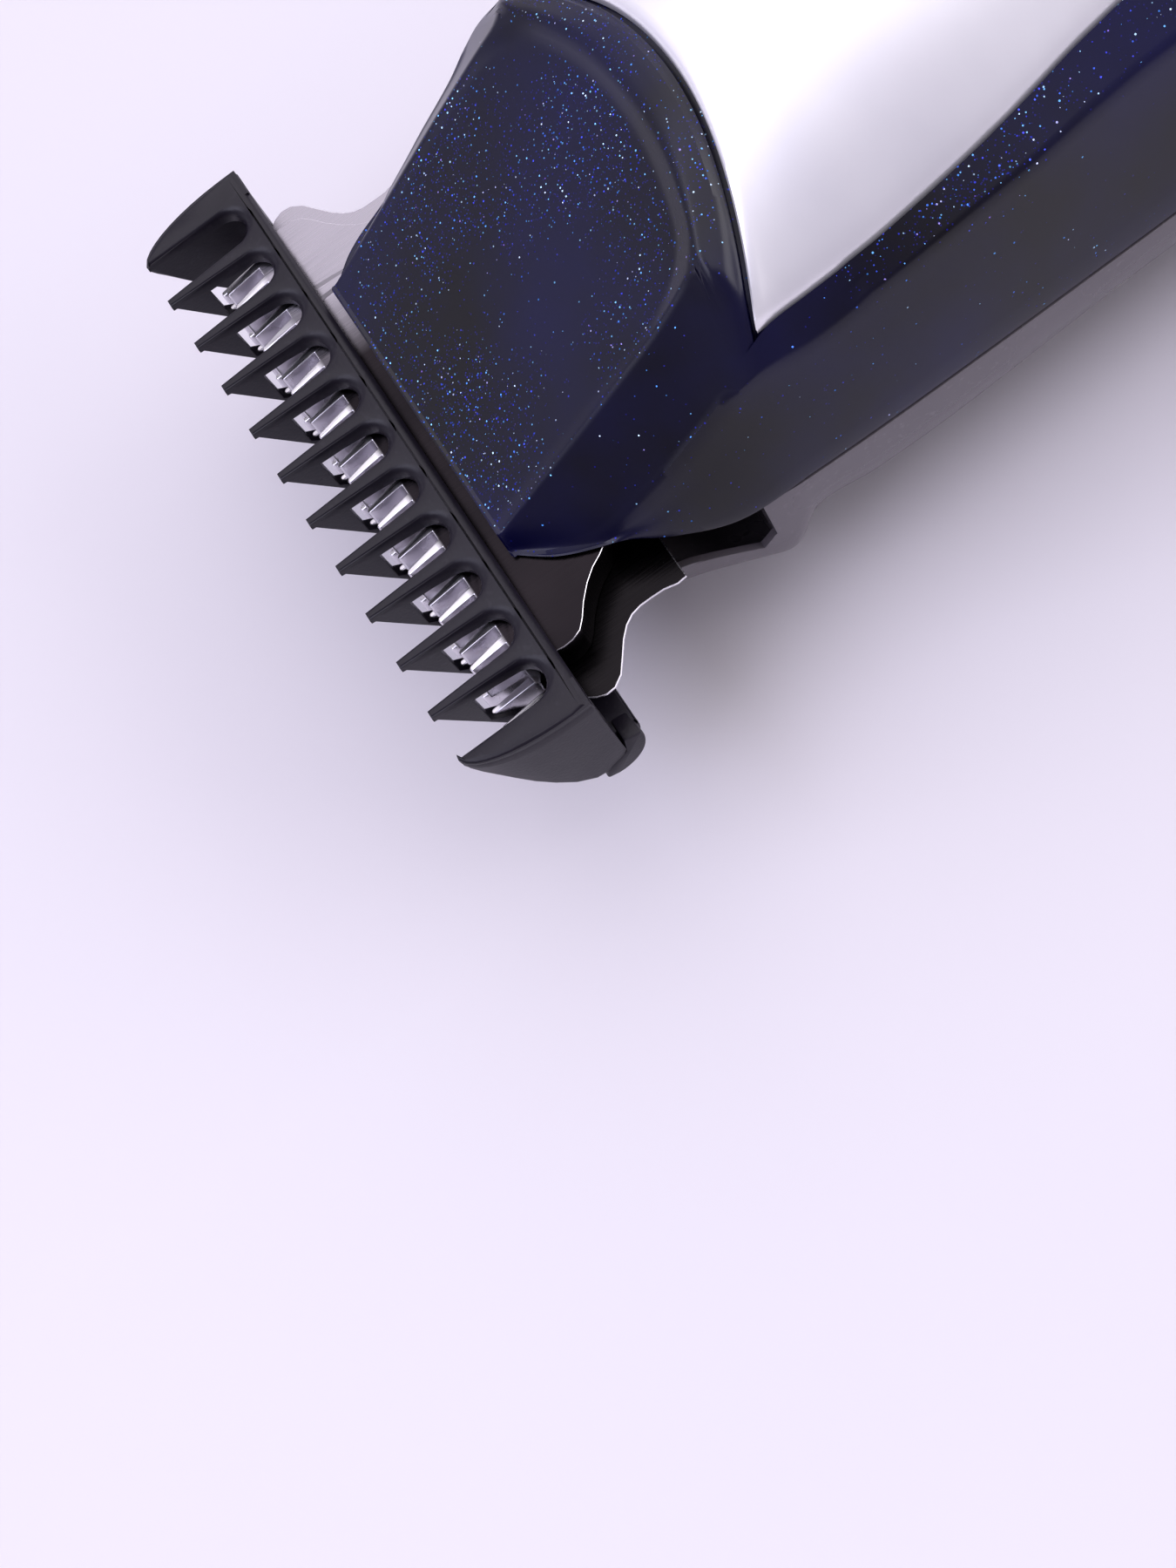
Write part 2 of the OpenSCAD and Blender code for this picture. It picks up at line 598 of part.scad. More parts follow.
// Clear strip over the charge lights
module indicator_lens() {
    color([0.8, 0.85, 0.9, 0.6]) {
        box(-1.5, 1.5, 92, 104, 10.6, 14);
        box(-2.4, 2.4, 91.2, 104.8, 10, 10.8);
    }
}

module power_button() {
    color([0.12, 0.12, 0.14]) translate([0, button_y, 0]) {
        translate([0, 0, button_z]) cylinder(h = 0.5, r = button_d / 2 + 0.9);
        translate([0, 0, button_z]) cylinder(h = 4.7, r = button_d / 2);
        translate([0, 0, button_z + 4.7]) cylinder(h = 0.3, r1 = button_d / 2, r2 = button_d / 2 - 0.3);
    }
}

module switch_plunger() {
    foot = board_top + 0.35 + button_travel;
    color("white") translate([0, button_y, foot]) cylinder(h = button_z - foot - 0.02, r = 1);
}

// Silicone boot that lifts the button again
module button_boot() {
    color("slategray") translate([0, button_y, board_top + 0.02]) difference() {
        cylinder(h = button_z - board_top - 0.06, r = button_d / 2 + 0.7);
        translate([0, 0, -1]) cylinder(h = 5, r = button_d / 2 - 0.1);
    }
}

module charge_board() {
    color("darkgreen") box(-7, 7, total_l - 20, total_l - 4, socket_z - 2.9, socket_z - 1.72);
}

// Metal-shelled charging inlet, open to the tail
module charging_socket() {
    color("silver") {
        difference() {
            box(-4.5, 4.5, total_l - 9.4, total_l - 2, socket_z - 1.7, socket_z + 1.7);
            box(-4.1, 4.1, total_l - 8.8, total_l, socket_z - 1.3, socket_z + 1.3);
        }
        box(-3.2, 3.2, total_l - 9, total_l - 3, socket_z - 0.35, socket_z + 0.35);
    }
}

module socket_gasket() {
    color([0.1, 0.1, 0.1]) difference() {
        box(-5.5, 5.5, total_l - 5.5, total_l - 1.7, socket_z - 2.5, socket_z + 2.5);
        box(-4.6, 4.6, total_l - 6, total_l, socket_z - 1.8, socket_z + 1.8);
        box(-7.1, 7.1, total_l - 21, total_l - 3.95, socket_z - 2.95, socket_z - 1.7);
    }
}

module charge_leads() {
    colours = ["red", "black"];
    for (s = [0, 1]) color(colours[s]) mirror([s, 0, 0])
        wire([[2.6, total_l - 18, socket_z - 1.7], [2.6, total_l - 18, 3], [2.6, board_end - 1, 5.2],
            [2.6, board_end - 1, board_z - 0.02]], 0.5);
}

module housing_screws() {
    color("silver") both_sides() for (p = screw_at) difference() {
        union() {
            boss(p, 1.1, -9, 4);
            boss(p, 2.1, -10.2, -8.62);
        }
        translate([p[0] - 0.3, real_y(p[1]) - 1.4, -10.3]) cube([0.6, 2.8, 0.8]);
        translate([p[0] - 1.4, real_y(p[1]) - 0.3, -10.3]) cube([2.8, 0.6, 0.8]);
    }
}

in_row_frame() {
    front_shell();
    face_panel();
    rear_shell();
    inner_frame();
    guide_comb();
    fixed_blade();
    moving_blade();
    drive_yoke();
    tension_spring();
    blade_screws();
    motor_can();
    motor_magnets();
    motor_end_cap();
    motor_shaft();
    armature();
    commutator();
    eccentric();
    motor_leads();
    battery_cell();
    battery_tabs();
    battery_foam();
    circuit_board();
    board_chips();
    tact_switch();
    charge_leds();
    indicator_lens();
    power_button();
    switch_plunger();
    button_boot();
    charge_board();
    charging_socket();
    socket_gasket();
    charge_leads();
    housing_screws();
}
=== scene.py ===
import json
import math

import bmesh
import bpy
import numpy as np
from mathutils import Matrix, Vector


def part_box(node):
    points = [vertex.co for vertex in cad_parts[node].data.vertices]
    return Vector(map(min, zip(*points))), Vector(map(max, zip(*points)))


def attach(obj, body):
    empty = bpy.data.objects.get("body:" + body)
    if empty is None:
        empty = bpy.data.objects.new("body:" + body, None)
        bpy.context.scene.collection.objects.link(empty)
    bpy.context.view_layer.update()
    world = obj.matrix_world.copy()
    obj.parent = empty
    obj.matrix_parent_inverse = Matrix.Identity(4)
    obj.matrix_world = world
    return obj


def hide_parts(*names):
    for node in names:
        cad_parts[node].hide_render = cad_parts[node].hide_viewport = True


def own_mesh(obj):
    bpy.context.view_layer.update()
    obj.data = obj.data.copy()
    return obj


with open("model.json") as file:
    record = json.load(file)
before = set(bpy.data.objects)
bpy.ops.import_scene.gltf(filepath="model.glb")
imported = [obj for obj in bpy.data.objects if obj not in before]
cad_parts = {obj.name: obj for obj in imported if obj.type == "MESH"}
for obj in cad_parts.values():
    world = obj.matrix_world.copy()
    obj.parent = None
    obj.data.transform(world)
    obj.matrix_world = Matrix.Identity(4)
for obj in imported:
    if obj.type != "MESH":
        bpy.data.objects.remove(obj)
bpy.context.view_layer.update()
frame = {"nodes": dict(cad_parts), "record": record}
MM = 0.001

# ---------------------------------------------------------------- head frame
# Shapes are drawn in millimetres in the head's own frame, whose zero is the top of the comb's tooth tips.
comb_low, comb_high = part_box("guide_comb")
SPINE_RISE = 0.3
ZERO = Vector((0.0, comb_low.y, comb_high.z - SPINE_RISE * MM))
COMB_HALF = comb_high.x / MM
TAIL = (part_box("rear_shell")[1].y - comb_low.y) / MM
REST = -ZERO.z / MM


def in_place(points):
    return np.asarray(points, float) * MM + np.array(ZERO)


# ---------------------------------------------------------------- outline lines of the housing
SIDE = [(8.2, 10.4), (10.2, 12.2), (13, 13.5), (18.8, 15.9), (24, 16.1), (32, 15.9), (47, 15.1),
        (70, 14.6), (105, 14.9), (135, 15.1), (151, 14.2), (158, 12.6), (162, 9.5)]
CHIN = [(9.6, 13.6), (12, 14.0), (15.5, 14.3), (18.8, 15.15), (21, 15.85), (24, 16.1), (32, 15.9),
        (47, 15.1), (70, 14.6), (105, 14.9), (135, 15.1), (151, 14.2), (158, 12.6), (162, 9.5)]
SHOULDER_X = [(8.2, 10.2), (12.5, 13.1), (16.6, 14), (20.2, 14.3), (23, 14.6), (27, 15), (40, 15),
              (47, 14.3), (70, 13.8), (105, 14.1), (135, 14.3), (151, 13.4), (158, 11.8), (162, 8.9)]
SHOULDER = [(8.2, -0.6), (12.3, -0.72), (14.2, 0.2), (16.7, 1.6), (20.3, 3.9), (23.3, 6.1), (27, 6.2),
            (32, 7.1), (40, 8.0), (60, 8.6), (90, 8.8), (120, 8.2), (150, 6.0), (158, 4.2), (162, 2)]
RIDGE = [(8.2, 10.0), (16.8, 10.5), (24, 10.7), (30, 10.8)]
EDGE = [(22, 13.6), (24, 13.6), (26, 13.4), (30, 13.3), (33, 13.2), (40, 12.6), (47.5, 11.4), (60, 10.4),
        (75, 10), (100, 10.2), (125, 10.4), (150, 9.8), (158, 8.8), (162, 6.5)]
EDGE_Z = [(20, 8.3), (24, 8.4), (27, 8.2), (33, 8.5), (40, 9.3), (47.5, 10.2), (60, 11.0), (80, 11.6),
          (110, 11.2), (135, 9.4), (150, 7.6), (158, 5.8), (162, 3.2)]
TOP = [(18, 10.0), (24, 11.6), (26.9, 12.4), (28.9, 13.0), (33, 14.1), (40, 15.0), (55, 15.4), (80, 15.4),
       (110, 14.2), (135, 11.8), (150, 9.4), (158, 7.2), (162, 4.2)]
PART = [(8.2, -0.8), (13.6, -0.8), (15.5, -1.6), (18.8, -2.3), (24, -2.4), (32, -2.7), (47, -3.4),
        (150, -3.2), (162, -2)]
CORNER = [(9.6, -5.8), (20.8, -5.8), (23.4, -3.2), (32, -3.1), (47, -3.8), (150, -3.6), (162, -2.4)]
ROUND = [(9.6, 4), (20.8, 4), (23, 2.5), (27, 2.6), (47, 2.05), (100, 2.1), (162, 2.3)]
BACK = [(9.6, 6.9), (12, 7.4), (16.5, 9.2), (21, 11.2), (32, 13.2), (45, 14.2), (58, 15.4), (122, 15.4),
        (143, 13.9), (156, 10.4), (162, 6.4)]
CROWN = [(18, 5.6), (24, 5.6), (25.2, 4.3), (26.5, 3.4), (28, 2.9), (30, 2.6), (36, 2.2), (162, 2.2)]
ARC_APEX = 26.9
GROOVE = 28.85
PANEL_T = 0.75
PANEL_TURN = 134.0
PANEL_END = 148.0


def curve(line, y):
    """Piecewise cubic through the points of a line, read at y."""
    p = np.array(line, float)
    y = np.asarray(y, float)
    n = len(p)
    low = np.maximum(np.arange(n) - 1, 0)
    high = np.minimum(np.arange(n) + 1, n - 1)
    steep = (p[high, 1] - p[low, 1]) / (p[high, 0] - p[low, 0])
    i = np.clip(np.searchsorted(p[:, 0], y, side="right") - 1, 0, n - 2)
    h = p[i + 1, 0] - p[i, 0]
    t = np.clip((y - p[i, 0]) / h, 0, 1)
    return ((2 * t**3 - 3 * t**2 + 1) * p[i, 1] + (t**3 - 2 * t**2 + t) * h * steep[i]
            + (3 * t**2 - 2 * t**3) * p[i + 1, 1] + (t**3 - t**2) * h * steep[i + 1])


def ease(a, b, v):
    t = np.clip((np.asarray(v, float) - a) / (b - a), 0, 1)
    return t * t * (3 - 2 * t)


def soft_min(a, b, k):
    near = np.maximum(0, 1 - np.abs(a - b) / k)
    return np.minimum(a, b) - k / 4 * near * near


# ---------------------------------------------------------------- mesh tools
def mesh_piece(name, points, faces, sharp=None):
    mesh = bpy.data.meshes.new(name)
    mesh.from_pydata([tuple(p) for p in points], [], faces)
    mesh.validate()
    bm = bmesh.new()
    bm.from_mesh(mesh)
    bmesh.ops.remove_doubles(bm, verts=bm.verts, dist=1e-7)
    bmesh.ops.recalc_face_normals(bm, faces=bm.faces)
    bm.to_mesh(mesh)
    bm.free()
    obj = bpy.data.objects.new(name, mesh)
    bpy.context.scene.collection.objects.link(obj)
    smooth(obj, sharp)
    return obj


def smooth(obj, sharp=None):
    mesh = obj.data
    mesh.polygons.foreach_set("use_smooth", [True] * len(mesh.polygons))
    if sharp is not None:
        mesh.set_sharp_from_angle(angle=math.radians(sharp))
    mesh.update()


def ring_faces(rings, n):
    """Side faces of a loft whose closed rings have n points each."""
    faces = []
    for j in range(rings - 1):
        a, b = j * n, (j + 1) * n
        for i in range(n):
            k = (i + 1) % n
            faces.append((a + i, a + k, b + k, b + i))
    return faces


def loft(name, rings, sharp=30, fold=None):
    """Solid through closed rings. With fold set, each end is closed by a strip between its two paths."""
    n = len(rings[0])
    faces = ring_faces(len(rings), n)
    for base in (0, (len(rings) - 1) * n):
        if fold is None:
            faces.append(tuple(base + i for i in range(n)))
        else:
            for i in range(fold - 1):
                faces.append((base + i, base + i + 1, base + n - 2 - i, base + n - 1 - i))
    return mesh_piece(name, in_place(np.vstack(rings)), faces, sharp)


def extrude(name, outline, low, high, bevel=0.1, segments=2, sharp=35):
    """Flat outline in X and Y carried from low to high, with small rounded edges."""
    pts = [(x, y, low) for x, y in outline] + [(x, y, high) for x, y in outline]
    n = len(outline)
    faces = [tuple(range(n))[::-1], tuple(range(n, 2 * n))]
    faces += [(i, (i + 1) % n, n + (i + 1) % n, n + i) for i in range(n)]
    obj = mesh_piece(name, in_place(pts), faces)
    if bevel:
        round_edges(obj, bevel, segments)
    smooth(obj, sharp)
    return obj


def apply_modifiers(obj):
    bpy.context.view_layer.update()
    shape = bpy.data.meshes.new_from_object(obj.evaluated_get(bpy.context.evaluated_depsgraph_get()))
    obj.modifiers.clear()
    obj.data = shape


def round_edges(obj, width, segments=2, angle=30):
    m = obj.modifiers.new("edge", "BEVEL")
    m.width = width * MM
    m.segments = segments
    m.limit_method = "ANGLE"
    m.angle_limit = math.radians(angle)
    m.use_clamp_overlap = True
    apply_modifiers(obj)


def cut(obj, cutter):
    m = obj.modifiers.new("cut", "BOOLEAN")
    m.operation = "DIFFERENCE"
    m.solver = "EXACT"
    m.object = cutter
    apply_modifiers(obj)
    smooth(obj, 30)


def rod(name, x, y, z0, z1, r, sides=64):
    ring = [(x + r * math.cos(2 * math.pi * i / sides), y + r * math.sin(2 * math.pi * i / sides))
            for i in range(sides)]
    return extrude(name, ring, z0, z1, bevel=0)


def pill(half_w, half_l, r, x, y, steps=8):
    out = []
    for cx, cy, a0 in ((x + half_w - r, y + half_l - r, 0), (x - half_w + r, y + half_l - r, 90),
                       (x - half_w + r, y - half_l + r, 180), (x + half_w - r, y - half_l + r, 270)):
        for i in range(steps + 1):
            a = math.radians(a0 + 90 * i / steps)
            out.append((cx + r * math.cos(a), cy + r * math.sin(a)))
    return out


def turned(name, profile, x, y, sides=72, tube=False):
    """Round piece about a vertical axis; the profile is (radius, height), closed on itself for a tube."""
    pts, faces = [], []
    for r, z in profile:
        for i in range(sides):
            a = 2 * math.pi * i / sides
            pts.append((x + r * math.cos(a), y + r * math.sin(a), z))
    for j in range(len(profile) - 1):
        for i in range(sides):
            k = (i + 1) % sides
            faces.append((j * sides + i, j * sides + k, (j + 1) * sides + k, (j + 1) * sides + i))
    last = (len(profile) - 1) * sides
    if tube:
        faces += [(last + i, last + (i + 1) % sides, (i + 1) % sides, i) for i in range(sides)]
    else:
        faces.append(tuple(range(sides))[::-1])
        faces.append(tuple(last + i for i in range(sides)))
    return mesh_piece(name, in_place(pts), faces, 35)


# ---------------------------------------------------------------- front shell and face panel
def bow(s):
    """How strongly a station line bows towards the tail at the middle of the handle."""
    return 0.024 * ease(8.5, 24, s) * (1 - ease(34, 70, s))


def dome(x, y):
    """Domed front of the handle, between the two edges of the metal panel."""
    xe, ze, zc = curve(EDGE, y), curve(EDGE_Z, y), curve(TOP, y)
    return zc - (zc - ze) * np.minimum(x / xe, 1.15) ** curve(CROWN, y)


def slope(y):
    return 0.4 + 0.63 * (y - 8.4)


def facet(x, y):
    """Flank of the head, which runs on as the facet between the panel's edge and the shoulder."""
    ridge, xe, ze = curve(RIDGE, y), curve(EDGE, y), curve(EDGE_Z, y)
    xs, zs = curve(SHOULDER_X, y), curve(SHOULDER, y)
    steep = (slope(y) - zs) / np.maximum(xs - ridge, 0.25)
    k = ease(23.2, 27.5, y)
    steep = steep * (1 - k) + (ze - zs) / np.maximum(xs - xe, 0.25) * k
    return zs + steep * (xs - x)


def border(x, y):
    """Raised soft border of the head panel: along the arc and, lower, along both ridges."""
    arc = y + 0.024 * x * x - ARC_APEX
    side = x - curve(RIDGE, y)
    near = -soft_min(-arc, -side, 2.6)
    high = 0.13 + 0.3 * ease(-4.5, -0.6, arc)
    return high * ease(-1.3, -0.05, near)


def front_height(x, y):
    handle = np.where((x < curve(EDGE, y)) | (y < 30), dome(x, y), 99.0)
    handle = np.where(y < 30, soft_min(handle, facet(x, y) + 0.04, 0.5), np.minimum(handle, facet(x, y) + 9.0 * (x < curve(EDGE, y))))
    return soft_min(soft_min(slope(y) + border(x, y), handle, 0.22), facet(x, y) + 0.06, 0.42)


def panel_half(y):
    """Half width of the metal panel: the handle's edge line, then an elliptic tail end."""
    tail = np.sqrt(np.maximum(0, 1 - (np.maximum(y - PANEL_TURN, 0) / (PANEL_END - PANEL_TURN)) ** 2))
    return np.where(y < PANEL_TURN, curve(EDGE, y), curve(EDGE, PANEL_TURN) * tail)


def station_line(s, half, u):
    """Points across one station: x from 0 to half(y), y on the bowed line."""
    x = np.full_like(u, 5.0)
    y = np.full_like(u, s)
    for _ in range(12):
        x = half(y) * u
        y = s - bow(s) * x * x
    return x, y


def front_ring(s, groove_side):
    """Closed ring of the front shell at station s: outer path, lip, inner path."""
    def role_half(y):
        k = ease(26.3, 27.6, s)
        return curve(RIDGE, y) * (1 - k) + (panel_half(y) + 0.16) * k
    late = s > PANEL_END + 0.16
    grid_half = (lambda y: curve(EDGE, y)) if late else role_half
    u = np.concatenate([np.linspace(0, 0.93, 40), np.linspace(0.94, 1.0, 12)])
    xa, ya = station_line(s, grid_half, u)
    sunk = groove_side and not late
    roll = 0.4 * ease(-0.75, 0.0, s - GROOVE) ** 1.6 if not groove_side else 0.0
    za = front_height(xa, ya) - (PANEL_T + 0.15 if sunk else roll * (1 - ease(0.75, 1.0, u) ** 2 * 0.5))
    xe = xa[-1]
    v = np.linspace(0, 1, 22) ** 0.8
    xs_of = lambda y: curve(SHOULDER_X, y)
    xb, yb = np.full_like(v, xe), np.full_like(v, ya[-1])
    for _ in range(12):
        xb = xe + (xs_of(yb) - xe) * v
        yb = s - bow(s) * xb * xb
    zb = front_height(xb, yb)
    y1 = yb[-1]
    xs, zs, xp, zp = xb[-1], zb[-1], curve(SIDE, y1), curve(PART, y1)
    # the shoulder is rounded between the facet and the side wall
    cut_n = 17
    p0 = np.array([xb[cut_n], zb[cut_n]])
    p1 = np.array([xs, zs])
    p2 = p1 + (np.array([xp, zp]) - p1) * min(0.35, 0.9 / max(zs - zp, 0.6))
    arc = [(1 - q) ** 2 * p0 + 2 * q * (1 - q) * p1 + q * q * p2 for q in (0.2, 0.4, 0.6, 0.8, 1.0)]
    wall = [p2 + (np.array([xp, zp]) - p2) * q for q in (0.2, 0.4, 0.6, 0.8, 0.94)]
    wall = [w + np.array([0.16 * math.sin(math.pi * (i + 1) / 6), 0]) for i, w in enumerate(wall)]
    lip = [np.array([xp - 0.04, zp + 0.03]), np.array([xp - 0.16, zp]), np.array([xp - 1.3, zp])]
    outer = [(x, y, z) for x, y, z in zip(xa, ya, za)] + [(x, y, z) for x, y, z in zip(xb[:cut_n + 1], yb, zb)]
    outer += [(p[0], y1, p[1]) for p in arc + wall + lip]
    solid = y1 < 10.5 or s > TAIL - 1.6
    inner = []
    for q in np.linspace(0, 1, 12):
        if solid:
            inner.append(((xp - 1.4) * (1 - q), y1, zp))
        else:
            a = math.pi / 2 * q
            top = dome(0.0, y1) if y1 > 24 else slope(y1)
            high = max(top - 2.4, zp + 0.3)
            inner.append(((xp - 1.5) * math.cos(a) ** 0.7, y1, zp + (high - zp) * math.sin(a) ** 0.9))
    return mirrored_ring(outer + inner)


def mirrored_ring(half):
    """Full closed ring from a half that starts and ends on the middle plane."""
    left = [(-x, y, z) for x, y, z in half[1:-1]][::-1]
    return np.array(half + left)


def inset_ring(ring, amount):
    """Slightly smaller copy of an end ring, for a rounded end edge."""
    c = ring.mean(0)
    out = ring.copy()
    for axis in (0, 2):
        span = max(ring[:, axis].max() - ring[:, axis].min(), 1e-6)
        out[:, axis] = c[axis] + (ring[:, axis] - c[axis]) * (1 - 2 * amount / span)
    return out


def front_shell():
    stations = list(np.arange(8.5, 28.6, 0.3)) + [GROOVE - 0.16, GROOVE - 0.05, GROOVE - 0.01]
    rings = [front_ring(s, False) for s in stations]
    first = rings[0].copy()
    first[:, 1] = 8.3
    tip = inset_ring(first, 0.12)
    tip[:, 1] = 8.2
    rings = [tip, first] + rings
    after = [GROOVE, GROOVE + 0.2] + list(np.arange(29.4, 40, 0.6)) + list(np.arange(40, 130, 2.5))
    after += list(np.arange(130, 147.6, 0.8)) + [147.85, 148.02, 148.12, 148.159]
    rings += [front_ring(s, True) for s in after]
    rings += [front_ring(s, True) for s in [148.165, 148.3, 149, 150.5, 152, 154, 156, 158, 159.5,
                                            160.3, 160.45, 161, 161.5, 161.8]]
    last = inset_ring(rings[-1], 0.2)
    last[:, 1] = 162.0
    obj = loft("head_and_front_shell", rings + [last])
    return obj


def face_panel():
    """Metal panel: a domed sheet with rolled edges, hollow arc in front and round tail."""
    rings = []
    u = np.concatenate([np.linspace(0, 0.92, 34), [0.945, 0.967, 0.986, 1.0]])
    stations = [GROOVE + 0.34, GROOVE + 0.37, GROOVE + 0.46, GROOVE + 0.7, 29.9] + list(np.arange(30.3, 42, 0.7))
    stations += list(np.arange(42, 132, 2.0)) + list(np.arange(132, 147.5, 0.7)) + [147.7, 147.9, 147.97]
    for s in stations:
        x, y = station_line(s, panel_half, u)
        z = dome(x, y)
        edge = np.array([0.0] * 34 + [0.02, 0.07, 0.17, 0.38])
        front = 0.26 * max(0.0, 1 - (s - GROOVE - 0.34) / 0.3) ** 2
        tail = 0.2 * max(0.0, 1 - (147.97 - s) / 0.5) ** 2
        z = z - np.maximum(edge, front + tail)
        top = [(-a, b, c) for a, b, c in zip(x[:0:-1], y[:0:-1], z[:0:-1])] + list(zip(x, y, z))
        low = dome(x, y) - PANEL_T
        bottom = list(zip(x[::-1], y[::-1], low[::-1])) + [(-a, b, c) for a, b, c in zip(x[1:], y[1:], low[1:])]
        rings.append(np.array(top + bottom))
    return loft("metal_face_panel", rings, fold=len(top))


# ---------------------------------------------------------------- rear shell
WEDGE = [(9.6, -5.7), (15.5, -5.7), (19.6, -7.1), (20.5, -6.0)]
WEDGE_BACK = 20.55


def rear_ring(y):
    y = float(y)
    xs, z0, zb, n = float(curve(CHIN, y)), float(curve(CORNER, y)), -float(curve(BACK, y)), float(curve(ROUND, y))
    if y < WEDGE_BACK:
        top = float(np.interp(y, [p[0] for p in WEDGE], [p[1] for p in WEDGE]))
    else:
        top = float(curve(PART, y)) - 0.2
    z0 = min(z0, top - 0.1) if y >= WEDGE_BACK else z0
    def path(d, floor):
        """Half outline from the top edge to the middle of the back, d inside the outer skin."""
        out = []
        low = zb + d
        start = top
        a0 = 0.0
        if start < z0:
            a0 = math.asin(min(1.0, max(0.0, (z0 - start) / max(z0 - low, 0.2)) ** (n / 2)))
        for k in range(25):
            a = a0 + (math.pi / 2 - a0) * k / 24
            x = (xs - d) * max(math.cos(a), 0.0) ** (2 / n)
            z = z0 - (z0 - low) * math.sin(a) ** (2 / n)
            out.append((x, y, max(z, floor)))
        if start >= z0:
            out = [(xs - d, y, start)] + out
        else:
            out = [(out[0][0], y, start)] + out
        return out
    outer = path(0.0, REST)
    soft = [(outer[0][0] - 0.12, y, outer[0][2]), (outer[0][0] - 0.03, y, outer[0][2] - 0.03)]
    outer = soft + [(outer[0][0], y, outer[0][2] - 0.12)] + outer[1:]
    solid = y < 10.4 or y > TAIL - 1.6
    if solid:
        inner = [(x, yy, top) for x, yy, z in path(1.6, REST + 1.6)]
        inner[-1] = (0.0, y, top)
    else:
        thick = 0.45 if y < WEDGE_BACK else 1.6
        inner = [(x, yy, min(z, top)) for x, yy, z in path(thick, REST + thick)]
    half = outer[::-1] + inner
    return mirrored_ring(half)


def rear_shell():
    stations = [9.9, 10.38, 10.42] + list(np.arange(11, 19.5, 0.7)) + [19.6, 20.0, 20.4, 20.54]
    stations += [20.56, 20.8] + list(np.arange(21.2, 24, 0.4)) + list(np.arange(24, 34, 0.8))
    stations += list(np.arange(34, 150, 2.2)) + list(np.arange(150, 160, 0.9)) + [160.35, 160.45, 161, 161.5, 161.8]
    rings = [rear_ring(s) for s in stations]
    tip = inset_ring(rings[0], 0.25)
    tip[:, 1] = 9.65
    last = inset_ring(rings[-1], 0.2)
    last[:, 1] = 162.0
    return loft("rear_shell_with_chin", [tip] + rings + [last])


# ---------------------------------------------------------------- blades
CUTTER_TOP, CUTTER_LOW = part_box("moving_blade")[1].z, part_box("moving_blade")[0].z
TIP_Y = (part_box("fixed_blade")[0].y - comb_low.y) / MM


def head_z(z):
    return (z - ZERO.z) / MM


def teeth(half, front, root, pitch=1.2):
    n = int((2 * half - 0.8) / pitch)
    x0 = -(n - 1) / 2 * pitch
    out = []
    for i in range(n):
        x = x0 + i * pitch
        out += [(x - 0.27, root), (x - 0.22, (front + root) / 2), (x - 0.16, front + 0.1), (x - 0.08, front),
                (x + 0.08, front), (x + 0.16, front + 0.1), (x + 0.22, (front + root) / 2), (x + 0.27, root)]
    return out


def wing(half, y0, neck, y1, steps=22):
    out = []
    for k in range(steps + 1):
        u = k / steps
        out.append((half - (half - neck) * (1 - math.cos(math.pi * u)) / 2,
                    y0 + (y1 - y0) * (u + math.sin(2 * math.pi * u) / 14)))
    return out


def blade_outline(half, front, root, wing_line, back):
    side = [(half - 0.2, root), (half, root + 0.8)] + wing_line
    side.append((wing_line[-1][0], back))
    return teeth(half, front, root) + side + [(-x, y) for x, y in side[::-1]]


def slope_tips(obj, y_from, y_to, z_face, z_drop):
    """Grinds the teeth's top down towards their tips."""
    for v in obj.data.vertices:
        y = (v.co.y - ZERO.y) / MM
        z = (v.co.z - ZERO.z) / MM
        if y < y_to and z > z_face - 0.3:
            v.co.z -= z_drop * MM * (y_to - y) / (y_to - y_from)


def blades():
    low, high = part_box("fixed_blade")
    half = high.x / MM
    line = [(19.0, 7.2), (19.35, 7.7), (19.55, 8.2), (19.5, 8.8), (19.05, 9.45), (18.2, 10.05), (17.4, 10.6),
            (16.8, 11.15), (16.45, 11.7), (16.3, 12.3), (16.28, 13.0), (16.3, 13.8), (16.5, 14.6), (16.45, 15.0)]
    outline = blade_outline(half, TIP_Y, 5.6, line, 15.2)
    mid = next(i for i, p in enumerate(outline) if p == (-16.45, 15.2))
    outline[mid:mid] = [(11.4, 15.2), (11.4, 22.0), (-11.4, 22.0), (-11.4, 15.2)]
    fixed = extrude("fixed_blade_plate", outline, head_z(low.z), head_z(high.z), bevel=0.12, segments=2)
    slope_tips(fixed, TIP_Y, 5.4, head_z(high.z), 0.5)
    for v in fixed.data.vertices:
        deep = (high.z - v.co.z) / (high.z - low.z)
        if abs(v.co.x) > 0.0125 and v.co.y > ZERO.y + 0.0066 and deep > 0.3:
            v.co.x -= math.copysign(0.0016 * deep, v.co.x)
    smooth(fixed, 18)
    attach(fixed, "housing")
    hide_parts("fixed_blade")
    low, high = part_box("moving_blade")
    half = high.x / MM
    neck = 11.0
    line = [(half, 7.2), (half + 0.1, 7.8), (half + 0.05, 8.4), (half - 0.2, 9.0), (half - 0.7, 9.45),
            (half - 1.5, 10.0), (half - 2.3, 10.7), (half - 2.9, 11.4), (half - 3.3, 12.1), (half - 3.9, 12.9),
            (neck + 0.4, 13.7), (neck, 14.3)]
    outline = blade_outline(half, TIP_Y + 0.4, 5.4, line, 15.6)
    moving = extrude("moving_blade_plate", outline, head_z(low.z) + 0.0, head_z(high.z), bevel=0.16, segments=3)
    slope_tips(moving, TIP_Y + 0.4, 5.2, head_z(high.z), 0.6)
    smooth(moving, 18)
    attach(moving, "cutter")
    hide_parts("moving_blade")
    return fixed, moving


# ---------------------------------------------------------------- guide comb
PITCH = 3.6
FIN = 1.1
SLOT_Y = 4.95
DEPTH = 7.4


